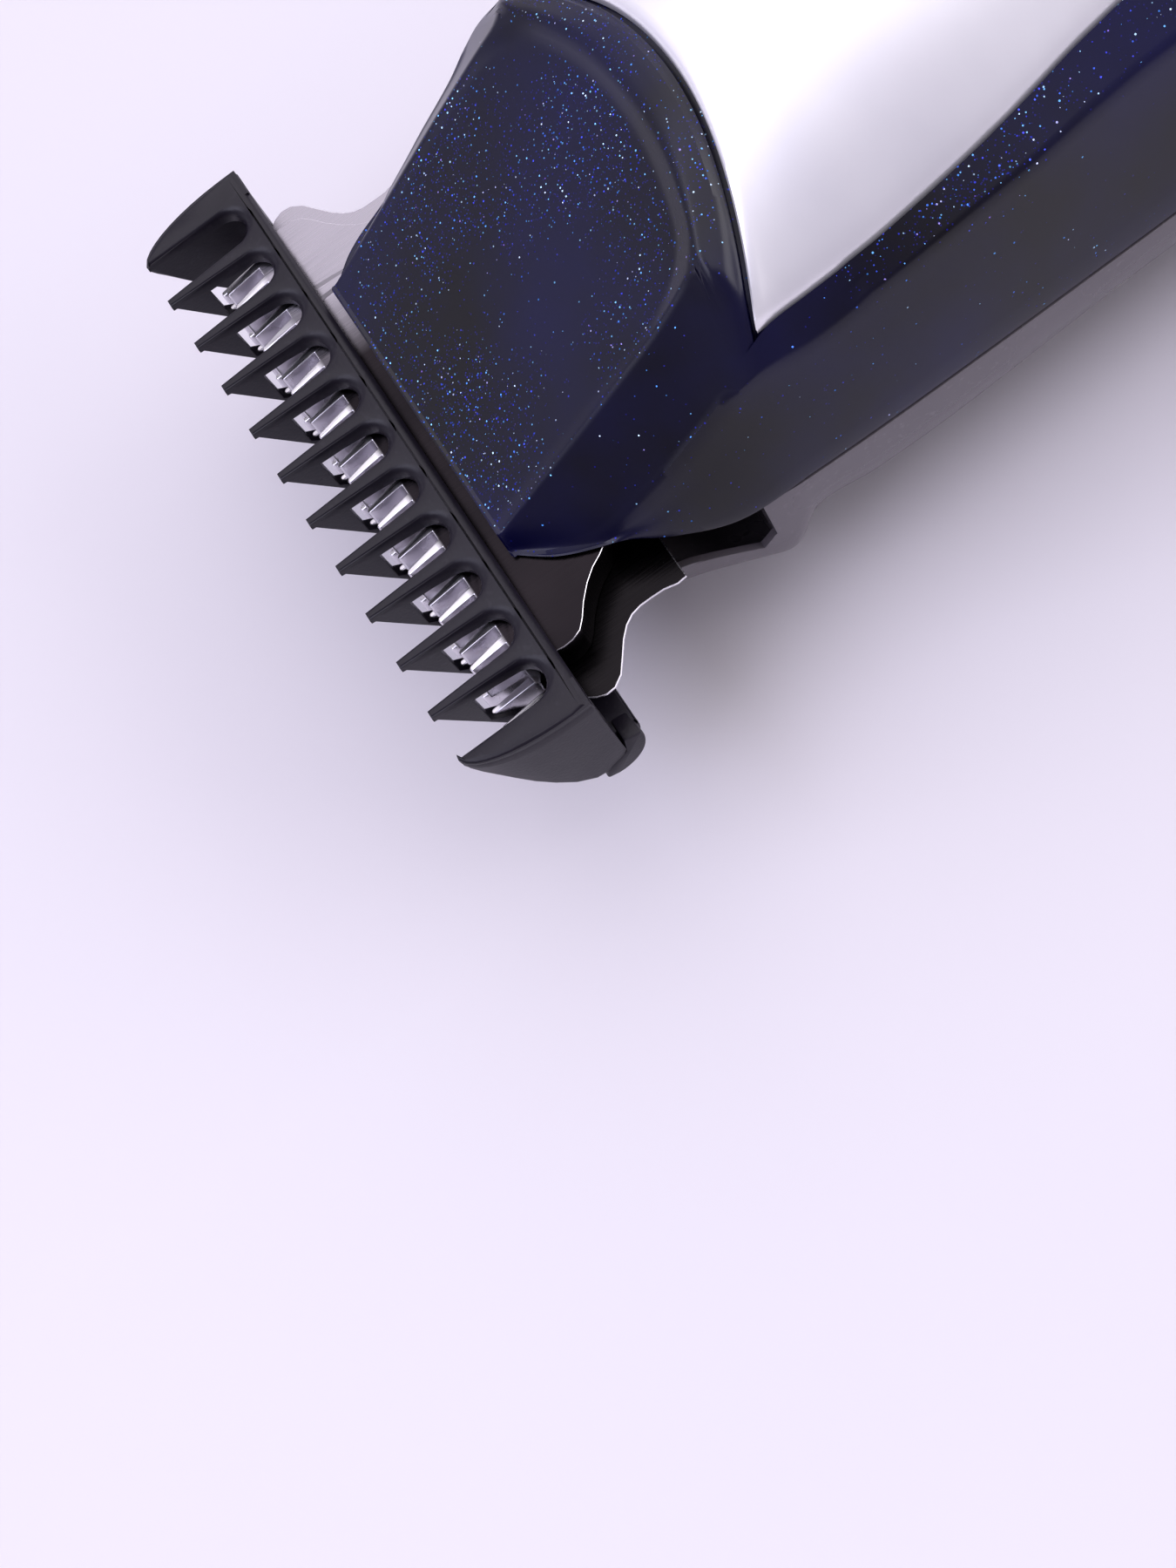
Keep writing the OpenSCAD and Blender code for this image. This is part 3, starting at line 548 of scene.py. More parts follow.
def comb_top_z(y):
    return SPINE_RISE * min(max(y / 7.0, 0.0), 1.0)


def comb_plate():
    """Top of the comb: fins, slots and spine in one skin with soft edges and scooped slot ends."""
    base, inset = [], []
    slot_r = (PITCH - FIN) / 2
    half = COMB_HALF
    def add(p, q):
        base.append(p)
        inset.append(q)
    # left end tooth: outer side from the back to the tip
    add((-half, DEPTH - 0.1), (-half + 0.35, DEPTH - 0.55))
    for k in range(11):
        a = math.radians(90 - 9 * k)
        x, y = half - 2.0 + 2.0 * math.sin(a), 6.2 - 6.15 * math.cos(a)
        add((-x, y), (-x + 0.2, y + 0.08))
    for i in range(11):
        cx = (i - 5) * PITCH
        left = cx - slot_r
        if i > 0:
            middle = left - FIN / 2
            add((middle - 0.22, 0.02), (middle - 0.12, 0.12))
            add((middle + 0.22, 0.02), (middle + 0.12, 0.12))
        else:
            add((left - 0.1, 0.1), (left - 0.3, 0.3))
        for k in range(15):
            a = math.radians(180 - 180 * k / 14)
            rise = 0.5 * math.sin(a) ** 1.0
            wide = 0.22 + 0.5 * math.sin(a)
            x, y = cx + slot_r * math.cos(a), SLOT_Y + slot_r * math.sin(a) * 1.0
            add((x, y), (cx + (slot_r + 0.2 + 0.28 * math.sin(a)) * math.cos(a),
                         SLOT_Y + (slot_r + wide) * math.sin(a)))
        if i == 10:
            add((left + 2 * slot_r + 0.1, 0.1), (left + 2 * slot_r + 0.3, 0.3))
    for k in range(11):
        a = math.radians(9 * k - 10 if k == 0 else 9 * k)
        a = max(a, 0.0)
        x, y = half - 2.0 + 2.0 * math.sin(a), 6.2 - 6.15 * math.cos(a)
        add((x, y), (x - 0.2, y + 0.08))
    add((half, DEPTH - 0.1), (half - 0.35, DEPTH - 0.55))
    add((half - 0.1, DEPTH), (half - 0.4, DEPTH - 0.6))
    add((-half + 0.1, DEPTH), (-half + 0.4, DEPTH - 0.6))
    n = len(base)
    pts = []
    layers = ((0.0, -0.95), (0.0, -0.42), (0.3, -0.16), (0.65, -0.05), (1.0, 0.0))
    for mix, drop in layers:
        for (bx, by), (ix, iy) in zip(base, inset):
            x, y = bx + (ix - bx) * mix, by + (iy - by) * mix
            deep = min(0.0, drop)
            if y < 3 and mix < 1:
                deep *= 0.55 + 0.15 * y
            pts.append((x, y, comb_top_z(y) + deep))
    faces = []
    for j in range(len(layers) - 1):
        for i in range(n):
            k = (i + 1) % n
            faces.append((j * n + i, j * n + k, (j + 1) * n + k, (j + 1) * n + i))
    faces.append(tuple((len(layers) - 1) * n + i for i in range(n)))
    faces.append(tuple(range(n))[::-1])
    return mesh_piece("comb_top", in_place(pts), faces, 32)


def heel_arc(r=2.1, x0=6.6, z0=-6.5, start=235, stop=372, steps=16):
    return [(x0 + r * math.cos(math.radians(start + (stop - start) * i / steps)),
             z0 + r * math.sin(math.radians(start + (stop - start) * i / steps))) for i in range(steps + 1)]


NOTCH_TOP = head_z(CUTTER_TOP) + 0.25
NOTCH_LOW = head_z(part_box("fixed_blade")[0].z) - 0.25


def slab(name, profile, x0, x1, bevel=0.14):
    """Profile in Y and Z carried from x0 to x1."""
    n = len(profile)
    pts = [(x0, y, z) for y, z in profile] + [(x1, y, z) for y, z in profile]
    faces = [tuple(range(n))[::-1], tuple(range(n, 2 * n))]
    faces += [(i, (i + 1) % n, n + (i + 1) % n, n + i) for i in range(n)]
    obj = mesh_piece(name, in_place(pts), faces)
    if bevel:
        round_edges(obj, bevel, 2, 25)
    smooth(obj, 32)
    return obj


def comb_fin(x, name):
    profile = [(0.04, -0.03), (0.06, -0.22), (2.3, -3.6), (4.6, -7.1), (5.2, -8.0)] + heel_arc()
    profile += [(8.7, NOTCH_LOW - 0.4), (8.5, NOTCH_LOW), (5.3, NOTCH_LOW), (2.4, head_z(CUTTER_LOW) - 0.4), (2.3, NOTCH_TOP),
                (6.9, NOTCH_TOP), (6.9, SPINE_RISE - 0.08)]
    fin = slab(name, profile, x - FIN / 2 + 0.02, x + FIN / 2 - 0.02)
    for v in fin.data.vertices:
        y = (v.co.y - ZERO.y) / MM
        v.co.x = x * MM + (v.co.x - x * MM) * float(0.4 + 0.6 * ease(-1.0, 5.2, y))
    return fin


def end_tooth(side, name):
    """Broad end tooth: flat inside face, outside swept in from the spine to the tip and rounded under."""
    rings = []
    ys = [0.05, 0.3, 0.7, 1.2, 1.8, 2.5, 3.3, 4.2, 5.2, 6.2, 7.0, 7.35]
    for y in ys:
        a = math.asin(min(1.0, max(0.0, y / 6.15)))
        cosine = max(0.0, min(1.0, (6.2 - y) / 6.15))
        top_x = COMB_HALF - 2.0 + 2.0 * math.sqrt(max(0.0, 1 - cosine * cosine))
        in_x = COMB_HALF - 1.95
        low = float(np.interp(y, [0, 0.3, 1.4, 2.6, 3.9, 5.2, 6.7, 7.4], [-0.35, -1.1, -3.2, -5.4, -7.3, -8.3, -8.5, -7.4]))
        high = comb_top_z(y) - 0.1
        in_low = min(high - 0.1, low + 0.3)
        wide = max(top_x - in_x, 0.06)
        depth = high - low
        ring = [(in_x, y, high), (in_x, y, in_low)]
        for q in (0.12, 0.3, 0.5, 0.7, 0.88, 1.0):
            b = math.pi / 2 * q
            ring.append((in_x + wide * 0.8 * math.sin(b), y, low + 0.9 * min(1, depth / 3) * (1 - math.cos(b))))
        for q in (0.3, 0.6, 0.9):
            z = low + 0.9 * min(1, depth / 3) + (high - low - 0.9 * min(1, depth / 3)) * q
            ring.append((in_x + wide * (0.8 + 0.2 * q), y, z))
        ring.append((in_x + wide, y, high))
        rings.append(np.array([(side * p[0], p[1], p[2]) for p in ring]))
    return loft(name, rings, sharp=38)


def end_hook(side, name):
    """Hook behind an end tooth, which holds the comb under the blade's wing."""
    profile = [(5.6, -8.25)] + heel_arc(2.0, 6.6, -6.5, 262, 372, 12) + [(8.55, -5.9), (7.5, -5.75), (7.3, -6.9), (6.1, -7.3)]
    x0, x1 = COMB_HALF - 1.9, COMB_HALF - 0.35
    return slab(name, profile, side * x0, side * x1, 0.16) if side > 0 else slab(name, profile, -x1, -x0, 0.16)


def guide_comb():
    parts = [comb_plate()]
    for i in range(10):
        parts.append(comb_fin((i - 4.5) * PITCH, "fin_%d" % i))
    heel = [(5.55, NOTCH_LOW - 0.1), (5.2, -6.9), (5.35, -8.05)] + heel_arc() + [(8.7, NOTCH_LOW - 0.5), (8.55, NOTCH_LOW - 0.1)]
    parts.append(slab("heel", heel, -COMB_HALF + 1.2, COMB_HALF - 1.2, 0.1))
    for side in (-1, 1):
        parts.append(end_tooth(side, "end_tooth"))
        parts.append(end_hook(side, "hook"))
    joined = join(parts, "push_on_comb")
    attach(joined, "comb")
    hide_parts("guide_comb")
    return joined


def join(parts, name):
    bm = bmesh.new()
    for p in parts:
        bm.from_mesh(p.data)
    mesh = bpy.data.meshes.new(name)
    bm.to_mesh(mesh)
    bm.free()
    for p in parts:
        bpy.data.objects.remove(p, do_unlink=True)
    obj = bpy.data.objects.new(name, mesh)
    bpy.context.scene.collection.objects.link(obj)
    smooth(obj, 32)
    return obj


# ---------------------------------------------------------------- button and light strip
def button_pieces():
    low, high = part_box("power_button")
    x, y = 0.0, ((low.y + high.y) / 2 - ZERO.y) / MM
    z0, z1 = head_z(low.z), head_z(high.z)
    r = 4.7
    profile = [(r + 0.9, z0), (r + 0.9, z0 + 0.4), (r, z0 + 0.5), (r, z1 - 0.45), (r - 0.1, z1 - 0.2), (r - 0.3, z1 - 0.05),
               (r - 0.55, z1), (r - 0.9, z1 - 0.08), (r - 1.2, z1 - 0.22), (2.9, z1 - 0.34), (2.7, z1 - 0.3),
               (2.5, z1 - 0.3), (2.3, z1 - 0.36), (1.2, z1 - 0.42), (0.02, z1 - 0.44)]
    button = turned("power_button_cap", profile, x, y)
    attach(button, "button")
    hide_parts("power_button")
    low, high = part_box("button_boot")
    z0, z1, r = head_z(low.z), head_z(high.z), high.x / MM
    folds = [(r - 0.02, z0), (r - 0.02, z0 + 0.5)]
    folds += [(r - 0.22 + 0.18 * math.cos(2 * math.pi * 2 * i / 24), z0 + 0.5 + (z1 - z0 - 0.9) * i / 24)
              for i in range(25)]
    folds += [(r - 0.1, z1 - 0.1), (r - 0.2, z1), (r - 0.7, z1), (r - 0.78, z1 - 0.1), (r - 0.78, z0)]
    boot = turned("rubber_boot", folds, x, y, tube=True)
    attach(boot, "housing")
    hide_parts("button_boot")
    low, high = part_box("indicator_lens")
    y = ((low.y + high.y) / 2 - ZERO.y) / MM
    top = float(dome(0.0, y)) - 0.12
    lens = extrude("light_strip_lens", pill(1.5, 6.0, 1.4, 0, y), head_z(low.z), top, bevel=0.2, segments=3)
    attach(lens, "housing")
    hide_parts("indicator_lens")
    return button, boot, lens


def cut_openings(shell, panel, back):
    low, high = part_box("power_button")
    y = ((low.y + high.y) / 2 - ZERO.y) / MM
    hole = rod("hole", 0, y, 5, 25, 4.95)
    low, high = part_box("indicator_lens")
    ly = ((low.y + high.y) / 2 - ZERO.y) / MM
    slot = extrude("slot", pill(1.62, 6.12, 1.5, 0, ly), 5, 25, bevel=0)
    for cutter in (hole, slot):
        cut(shell, cutter)
        cut(panel, cutter)
        bpy.data.objects.remove(cutter, do_unlink=True)
    low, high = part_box("socket_gasket")
    x0, z0, z1 = high.x / MM + 0.1, head_z(low.z) - 0.1, head_z(high.z) + 0.1
    y0 = TAIL - 8
    window = []
    for px, pz in pill(x0, (z1 - z0) / 2, 1.2, 0, (z0 + z1) / 2):
        window.append((px, pz))
    n = len(window)
    pts = [(px, y0, pz) for px, pz in window] + [(px, TAIL + 2, pz) for px, pz in window]
    faces = [tuple(range(n))[::-1], tuple(range(n, 2 * n))]
    faces += [(i, (i + 1) % n, n + (i + 1) % n, n + i) for i in range(n)]
    tool = mesh_piece("window", in_place(pts), faces)
    cut(shell, tool)
    cut(back, tool)
    bpy.data.objects.remove(tool, do_unlink=True)
    for sx in (-10, 10):
        for sy in (27.5, 141):
            tool = rod("well", sx, sy, REST - 2, -10.25, 2.3, 48)
            cut(back, tool)
            bpy.data.objects.remove(tool, do_unlink=True)


# ---------------------------------------------------------------- shader groups
def group(name, inputs, outputs):
    tree = bpy.data.node_groups.new(name, "ShaderNodeTree")
    for label, kind, value in inputs:
        s = tree.interface.new_socket(label, in_out="INPUT", socket_type=kind)
        s.default_value = value
    for label, kind in outputs:
        tree.interface.new_socket(label, in_out="OUTPUT", socket_type=kind)
    return tree, tree.nodes.new("NodeGroupInput"), tree.nodes.new("NodeGroupOutput")


def put(tree, kind, settings=None, **values):
    node = tree.nodes.new(kind)
    for key, value in (settings or {}).items():
        setattr(node, key, value)
    for key, value in values.items():
        name = key.replace("_", " ")
        if isinstance(value, bpy.types.NodeSocket):
            tree.links.new(value, node.inputs[name])
        else:
            node.inputs[name].default_value = value
    return node


def maths(tree, op, a, b=None, clamp=False):
    node = tree.nodes.new("ShaderNodeMath")
    node.operation = op
    node.use_clamp = clamp
    for socket, value in zip(node.inputs, (a, b)):
        if isinstance(value, bpy.types.NodeSocket):
            tree.links.new(value, socket)
        elif value is not None:
            socket.default_value = value
    return node.outputs[0]


def between(tree, value, low, high, to_low=0.0, to_high=1.0):
    node = tree.nodes.new("ShaderNodeMapRange")
    tree.links.new(value, node.inputs["Value"])
    for key, v in (("From Min", low), ("From Max", high), ("To Min", to_low), ("To Max", to_high)):
        node.inputs[key].default_value = v
    return node.outputs[0]


def mixed(tree, factor, a, b):
    node = tree.nodes.new("ShaderNodeMix")
    node.data_type = "RGBA"
    for socket, value in ((node.inputs[0], factor), (node.inputs[6], a), (node.inputs[7], b)):
        if isinstance(value, bpy.types.NodeSocket):
            tree.links.new(value, socket)
        elif isinstance(value, (int, float)):
            socket.default_value = value
        else:
            socket.default_value = (*value, 1.0)
    return node.outputs[2]


def ramp(tree, value, stops):
    node = tree.nodes.new("ShaderNodeValToRGB")
    tree.links.new(value, node.inputs[0])
    elements = node.color_ramp.elements
    while len(elements) > 1:
        elements.remove(elements[-1])
    elements[0].position, elements[0].color = stops[0][0], (*stops[0][1], 1)
    for position, colour in stops[1:]:
        elements.new(position).color = (*colour, 1)
    return node.outputs[0]


def glitter_group():
    """Metal flakes set in clear plastic: each cell of a cell texture may hold one small tilted flake."""
    tree, given, out = group(
        "glitter_flakes",
        [("Cells per metre", "NodeSocketFloat", 2000.0), ("Flake size", "NodeSocketFloat", 0.2),
         ("Amount", "NodeSocketFloat", 0.3), ("Tilt", "NodeSocketFloat", 0.5)],
        [("Mask", "NodeSocketFloat"), ("Color", "NodeSocketColor"), ("Normal", "NodeSocketVector")])
    place = put(tree, "ShaderNodeTexCoord").outputs["Object"]
    cells = put(tree, "ShaderNodeTexVoronoi", Vector=place, Scale=given.outputs[0])
    split = put(tree, "ShaderNodeSeparateColor", Color=cells.outputs["Color"])
    patch = put(tree, "ShaderNodeTexNoise", Vector=place, Scale=130.0, Detail=2.0)
    crowd = between(tree, patch.outputs[0], 0.36, 0.64, 0.15, 1.6)
    # flakes thin out to a few on steep faces, so the sides show little glitter: painted shade for flakes that catch no
    # light there
    facing = put(tree, "ShaderNodeSeparateXYZ", Vector=put(tree, "ShaderNodeNewGeometry").outputs["Normal"])
    crowd = maths(tree, "MULTIPLY", crowd, between(tree, facing.outputs["Z"], 0.7, 0.84, 0.08, 1.0))
    keep = maths(tree, "LESS_THAN", split.outputs[0], maths(tree, "MULTIPLY", given.outputs[2], crowd))
    size = maths(tree, "MULTIPLY", given.outputs[1], between(tree, split.outputs[1], 0, 1, 0.45, 1.0))
    inside = maths(tree, "LESS_THAN", cells.outputs["Distance"], size)
    mask = maths(tree, "MULTIPLY", keep, inside)
    tone = ramp(tree, split.outputs[2], [(0.0, (0.02, 0.02, 0.45)), (0.35, (0.03, 0.06, 0.6)), (0.62, (0.05, 0.25, 0.7)),
                                         (0.8, (0.2, 0.55, 0.85)), (0.93, (0.6, 0.75, 0.9)), (1.0, (0.2, 0.1, 0.6))])
    lean = put(tree, "ShaderNodeVectorMath", {"operation": "SUBTRACT"})
    tree.links.new(cells.outputs["Color"], lean.inputs[0])
    lean.inputs[1].default_value = (0.5, 0.5, 0.5)
    scaled = put(tree, "ShaderNodeVectorMath", {"operation": "SCALE"})
    tree.links.new(lean.outputs[0], scaled.inputs[0])
    tree.links.new(maths(tree, "MULTIPLY", given.outputs[3], mask), scaled.inputs["Scale"])
    face = put(tree, "ShaderNodeNewGeometry").outputs["Normal"]
    total = put(tree, "ShaderNodeVectorMath", {"operation": "ADD"})
    tree.links.new(face, total.inputs[0])
    tree.links.new(scaled.outputs[0], total.inputs[1])
    unit = put(tree, "ShaderNodeVectorMath", {"operation": "NORMALIZE"})
    tree.links.new(total.outputs[0], unit.inputs[0])
    for socket, source in zip(out.inputs, (mask, tone, unit.outputs[0])):
        tree.links.new(source, socket)
    return tree


def grain_group():
    """Fine moulded texture: a height for the bump and a slow tone for colour and gloss."""
    tree, given, out = group(
        "moulded_grain", [("Grain per metre", "NodeSocketFloat", 6000.0), ("Cloud per metre", "NodeSocketFloat", 90.0)],
        [("Height", "NodeSocketFloat"), ("Cloud", "NodeSocketFloat"), ("Speck", "NodeSocketFloat")])
    place = put(tree, "ShaderNodeTexCoord").outputs["Object"]
    fine = put(tree, "ShaderNodeTexNoise", Vector=place, Scale=given.outputs[0], Detail=3.0, Roughness=0.6)
    slow = put(tree, "ShaderNodeTexNoise", Vector=place, Scale=given.outputs[1], Detail=4.0)
    dots = put(tree, "ShaderNodeTexNoise", Vector=place, Scale=2400.0, Detail=1.0)
    tree.links.new(fine.outputs[0], out.inputs[0])
    tree.links.new(slow.outputs[0], out.inputs[1])
    tree.links.new(between(tree, dots.outputs[0], 0.62, 0.74), out.inputs[2])
    return tree


def brushed_group():
    """Straight grinding lines, stretched along one direction of the metal."""
    tree, given, out = group(
        "brushed_lines", [("Along X", "NodeSocketFloat", 60.0), ("Along Y", "NodeSocketFloat", 9000.0)],
        [("Height", "NodeSocketFloat"), ("Cloud", "NodeSocketFloat")])
    place = put(tree, "ShaderNodeTexCoord").outputs["Object"]
    axes = put(tree, "ShaderNodeCombineXYZ", X=given.outputs[0], Y=given.outputs[1], Z=400.0)
    stretch = put(tree, "ShaderNodeVectorMath", {"operation": "MULTIPLY"})
    tree.links.new(place, stretch.inputs[0])
    tree.links.new(axes.outputs[0], stretch.inputs[1])
    lines = put(tree, "ShaderNodeTexNoise", Vector=stretch.outputs[0], Scale=1.0, Detail=2.0)
    slow = put(tree, "ShaderNodeTexNoise", Vector=place, Scale=110.0, Detail=3.0)
    tree.links.new(lines.outputs[0], out.inputs[0])
    tree.links.new(slow.outputs[0], out.inputs[1])
    return tree


GLITTER, GRAIN, BRUSHED = glitter_group(), grain_group(), brushed_group()


def start_material(name):
    mat = bpy.data.materials.new(name)
    mat.use_nodes = True
    tree = mat.node_tree
    tree.nodes.clear()
    shader = tree.nodes.new("ShaderNodeBsdfPrincipled")
    end = tree.nodes.new("ShaderNodeOutputMaterial")
    tree.links.new(shader.outputs[0], end.inputs[0])
    return mat, tree, shader


def use_group(tree, which, **values):
    node = tree.nodes.new("ShaderNodeGroup")
    node.node_tree = which
    for key, value in values.items():
        node.inputs[key.replace("_", " ")].default_value = value
    return node


def add_bump(tree, shader, height, strength, distance=0.00005):
    bump = put(tree, "ShaderNodeBump", Strength=strength, Distance=distance, Height=height)
    tree.links.new(bump.outputs[0], shader.inputs["Normal"])


def plastic(name, dark, light, rough=(0.36, 0.46), grain=0.2, grain_scale=6000.0, cloud=90.0, coat=0.0, gloss=0.5):
    mat, tree, shader = start_material(name)
    g = use_group(tree, GRAIN, Grain_per_metre=grain_scale, Cloud_per_metre=cloud)
    colour = mixed(tree, between(tree, g.outputs[1], 0.3, 0.7), dark, light)
    colour = mixed(tree, maths(tree, "MULTIPLY", g.outputs[2], 0.12), colour, tuple(min(1, 2.2 * c + 0.02) for c in light))
    tree.links.new(colour, shader.inputs["Base Color"])
    tree.links.new(between(tree, g.outputs[1], 0.3, 0.7, *rough), shader.inputs["Roughness"])
    shader.inputs["Specular IOR Level"].default_value = gloss
    shader.inputs["Coat Weight"].default_value = coat
    shader.inputs["Coat Roughness"].default_value = 0.15
    add_bump(tree, shader, g.outputs[0], grain)
    return mat


def metal(name, dark, light, rough=(0.25, 0.36), along_x=60.0, along_y=9000.0, lines=0.25, pure=1.0):
    mat, tree, shader = start_material(name)
    g = use_group(tree, BRUSHED, Along_X=along_x, Along_Y=along_y)
    tree.links.new(mixed(tree, between(tree, g.outputs[1], 0.3, 0.7), dark, light), shader.inputs["Base Color"])
    tree.links.new(between(tree, g.outputs[0], 0.2, 0.8, *rough), shader.inputs["Roughness"])
    shader.inputs["Metallic"].default_value = pure
    add_bump(tree, shader, g.outputs[0], lines, 0.00003)
    return mat


def blade_steel(name, dark, light, bright_to, painted_left_reflection=None):
    """Blade steel, bright at the teeth and painted near black behind them as a painted dark reflection; one wing
    painted lighter if asked, and bevel edges with a painted highlight.
    """
    mat, tree, shader = start_material(name)
    g = use_group(tree, BRUSHED, Along_X=9000.0, Along_Y=300.0)
    place = put(tree, "ShaderNodeTexCoord").outputs["Object"]
    axes = put(tree, "ShaderNodeSeparateXYZ", Vector=place)
    back = axes.outputs["Y"]
    edge = ZERO.y + bright_to * MM
    # behind the teeth the blade gets a near-black colour, a painted dark reflection; the teeth keep a bright steel
    # colour
    painted_dark_body_mask = between(tree, back, edge - 0.0002, edge + 0.0002)
    body = mixed(tree, between(tree, g.outputs[1], 0.3, 0.7), dark, light)
    # the left wing is painted lighter towards -X, a painted reflection of the side light
    if painted_left_reflection is not None:
        body = mixed(tree, between(tree, axes.outputs["X"], -0.006, -0.011), body, painted_left_reflection)
    turn = put(tree, "ShaderNodeSeparateXYZ", Vector=put(tree, "ShaderNodeNewGeometry").outputs["Normal"]).outputs["Z"]
    # sloped bevel faces are painted light grey, a painted edge highlight
    painted_edge_highlight = maths(tree, "MULTIPLY", between(tree, turn, 0.985, 0.93), between(tree, turn, 0.15, 0.4))
    body = mixed(tree, painted_edge_highlight, body, (0.8, 0.78, 0.82))
    tree.links.new(mixed(tree, painted_dark_body_mask, (0.72, 0.70, 0.74), body), shader.inputs["Base Color"])
    tree.links.new(between(tree, g.outputs[0], 0.2, 0.8, 0.22, 0.34), shader.inputs["Roughness"])
    shader.inputs["Metallic"].default_value = 1.0
    add_bump(tree, shader, g.outputs[0], 0.2, 0.00003)
    return mat


def navy_glitter():
    mat, tree, shader = start_material("navy_glitter_plastic")
    small = use_group(tree, GLITTER, Cells_per_metre=4300.0, Flake_size=0.25, Amount=0.75, Tilt=0.8)
    dust = use_group(tree, GLITTER, Cells_per_metre=6200.0, Flake_size=0.34, Amount=0.38, Tilt=1.1)
    g = use_group(tree, GRAIN, Grain_per_metre=1500.0, Cloud_per_metre=75.0)
    cloud = between(tree, g.outputs[1], 0.35, 0.68)
    base = mixed(tree, cloud, (0.0014, 0.0010, 0.0034), (0.0022, 0.0022, 0.036))
    dusty = mixed(tree, dust.outputs["Mask"], base, (0.008, 0.008, 0.13))
    flaked = mixed(tree, small.outputs["Mask"], dusty, small.outputs["Color"])
    tree.links.new(flaked, shader.inputs["Base Color"])
    tree.links.new(maths(tree, "MULTIPLY", small.outputs["Mask"], 0.55), shader.inputs["Metallic"])
    tree.links.new(between(tree, small.outputs["Mask"], 0, 1, 0.34, 0.22), shader.inputs["Roughness"])
    tree.links.new(small.outputs["Normal"], shader.inputs["Normal"])
    shader.inputs["Specular IOR Level"].default_value = 0.36
    shader.inputs["Coat Weight"].default_value = 0.03
    shader.inputs["Coat Roughness"].default_value = 0.12
    return mat


def clear_lens():
    mat, tree, shader = start_material("clear_light_strip")
    g = use_group(tree, GRAIN, Grain_per_metre=2500.0, Cloud_per_metre=400.0)
    tree.links.new(mixed(tree, g.outputs[1], (0.62, 0.68, 0.75), (0.8, 0.86, 0.92)), shader.inputs["Base Color"])
    shader.inputs["Roughness"].default_value = 0.12
    shader.inputs["Transmission Weight"].default_value = 0.6
    add_bump(tree, shader, g.outputs[0], 0.06)
    return mat


NAVY = navy_glitter()
MATERIALS = {
    "navy_glitter": NAVY,
    "satin_panel": metal("satin_face_metal", (0.86, 0.85, 0.88), (0.92, 0.905, 0.93), (0.38, 0.41), 500.0, 6500.0, 0.02, 0.62),
    "charcoal_body": plastic("charcoal_back_plastic", (0.08, 0.069, 0.08), (0.10, 0.088, 0.10), (0.24, 0.3), 0.1, gloss=1.0),
    "frame_black": plastic("black_frame_plastic", (0.01, 0.01, 0.012), (0.016, 0.015, 0.018)),
    "comb_charcoal": plastic("charcoal_comb_plastic", (0.0065, 0.005, 0.010), (0.010, 0.008, 0.014), (0.34, 0.44), 0.25, 5200.0, 240.0, gloss=0.3),
    "fixed_steel": blade_steel("brushed_fixed_blade", (0.011, 0.010, 0.011), (0.019, 0.017, 0.018), 5.4, (0.34, 0.32, 0.36)),
    "cutter_steel": blade_steel("ground_moving_blade", (0.014, 0.012, 0.014), (0.024, 0.020, 0.023), 5.3, (0.34, 0.32, 0.36)),
    "white_plastic": plastic("white_follower_plastic", (0.72, 0.71, 0.68), (0.8, 0.79, 0.76)),
    "spring_steel": metal("drawn_spring_wire", (0.5, 0.5, 0.52), (0.6, 0.6, 0.62)),
    "screw_steel": metal("plated_screw_steel", (0.45, 0.45, 0.46), (0.56, 0.56, 0.58), (0.3, 0.4), 2500.0, 2500.0, 0.2),
    "can_steel": metal("plated_motor_can", (0.55, 0.55, 0.55), (0.66, 0.66, 0.66), (0.32, 0.42)),
    "ferrite": plastic("ferrite_magnet", (0.03, 0.028, 0.028), (0.05, 0.045, 0.045), (0.6, 0.7), 0.4, 3000.0),
    "lamination": metal("lacquered_core_and_winding", (0.3, 0.16, 0.08), (0.5, 0.26, 0.12), (0.3, 0.45), 200.0, 7000.0, 0.6),
    "copper": metal("bright_copper", (0.78, 0.42, 0.24), (0.86, 0.5, 0.3)),
    "shaft_steel": metal("ground_shaft_steel", (0.62, 0.62, 0.64), (0.7, 0.7, 0.72), (0.15, 0.25)),
    "cam_plastic": plastic("orange_cam_plastic", (0.6, 0.22, 0.03), (0.7, 0.28, 0.05)),
    "wire_cover": plastic("wire_covering", (0.25, 0.01, 0.01), (0.4, 0.02, 0.02)),
    "cell_wrap": plastic("green_cell_wrap", (0.03, 0.2, 0.08), (0.05, 0.28, 0.11), (0.2, 0.28)),
    "nickel": metal("nickel_strip", (0.6, 0.58, 0.54), (0.7, 0.68, 0.63)),
    "foam": plastic("open_foam", (0.015, 0.015, 0.017), (0.03, 0.03, 0.032), (0.85, 0.95), 0.8, 1800.0),
    "board_green": plastic("lacquered_board", (0.01, 0.07, 0.025), (0.015, 0.1, 0.035), (0.25, 0.35)),
    "chip_black": plastic("chip_case", (0.01, 0.01, 0.01), (0.02, 0.02, 0.02), (0.5, 0.6)),
    "led_white": plastic("light_chip", (0.75, 0.8, 0.6), (0.85, 0.88, 0.7), (0.2, 0.3)),
    "clear_lens": clear_lens(),
    "button_black": plastic("black_button_plastic", (0.012, 0.012, 0.014), (0.02, 0.02, 0.023), (0.3, 0.4), 0.2),
    "boot_silicone": plastic("silicone_boot", (0.13, 0.14, 0.16), (0.17, 0.18, 0.2), (0.5, 0.6)),
    "socket_shell": metal("plated_socket_shell", (0.6, 0.6, 0.62), (0.7, 0.7, 0.72)),
    "gasket_rubber": plastic("black_gasket", (0.012, 0.012, 0.012), (0.02, 0.02, 0.02), (0.6, 0.7)),
}
SLOT_OF = {part["node"]: part["material_slot"] for part in frame["record"]["subparts"]}


def finish_piece(obj, slot):
    obj.data.materials.clear()
    obj.data.materials.append(MATERIALS[slot])


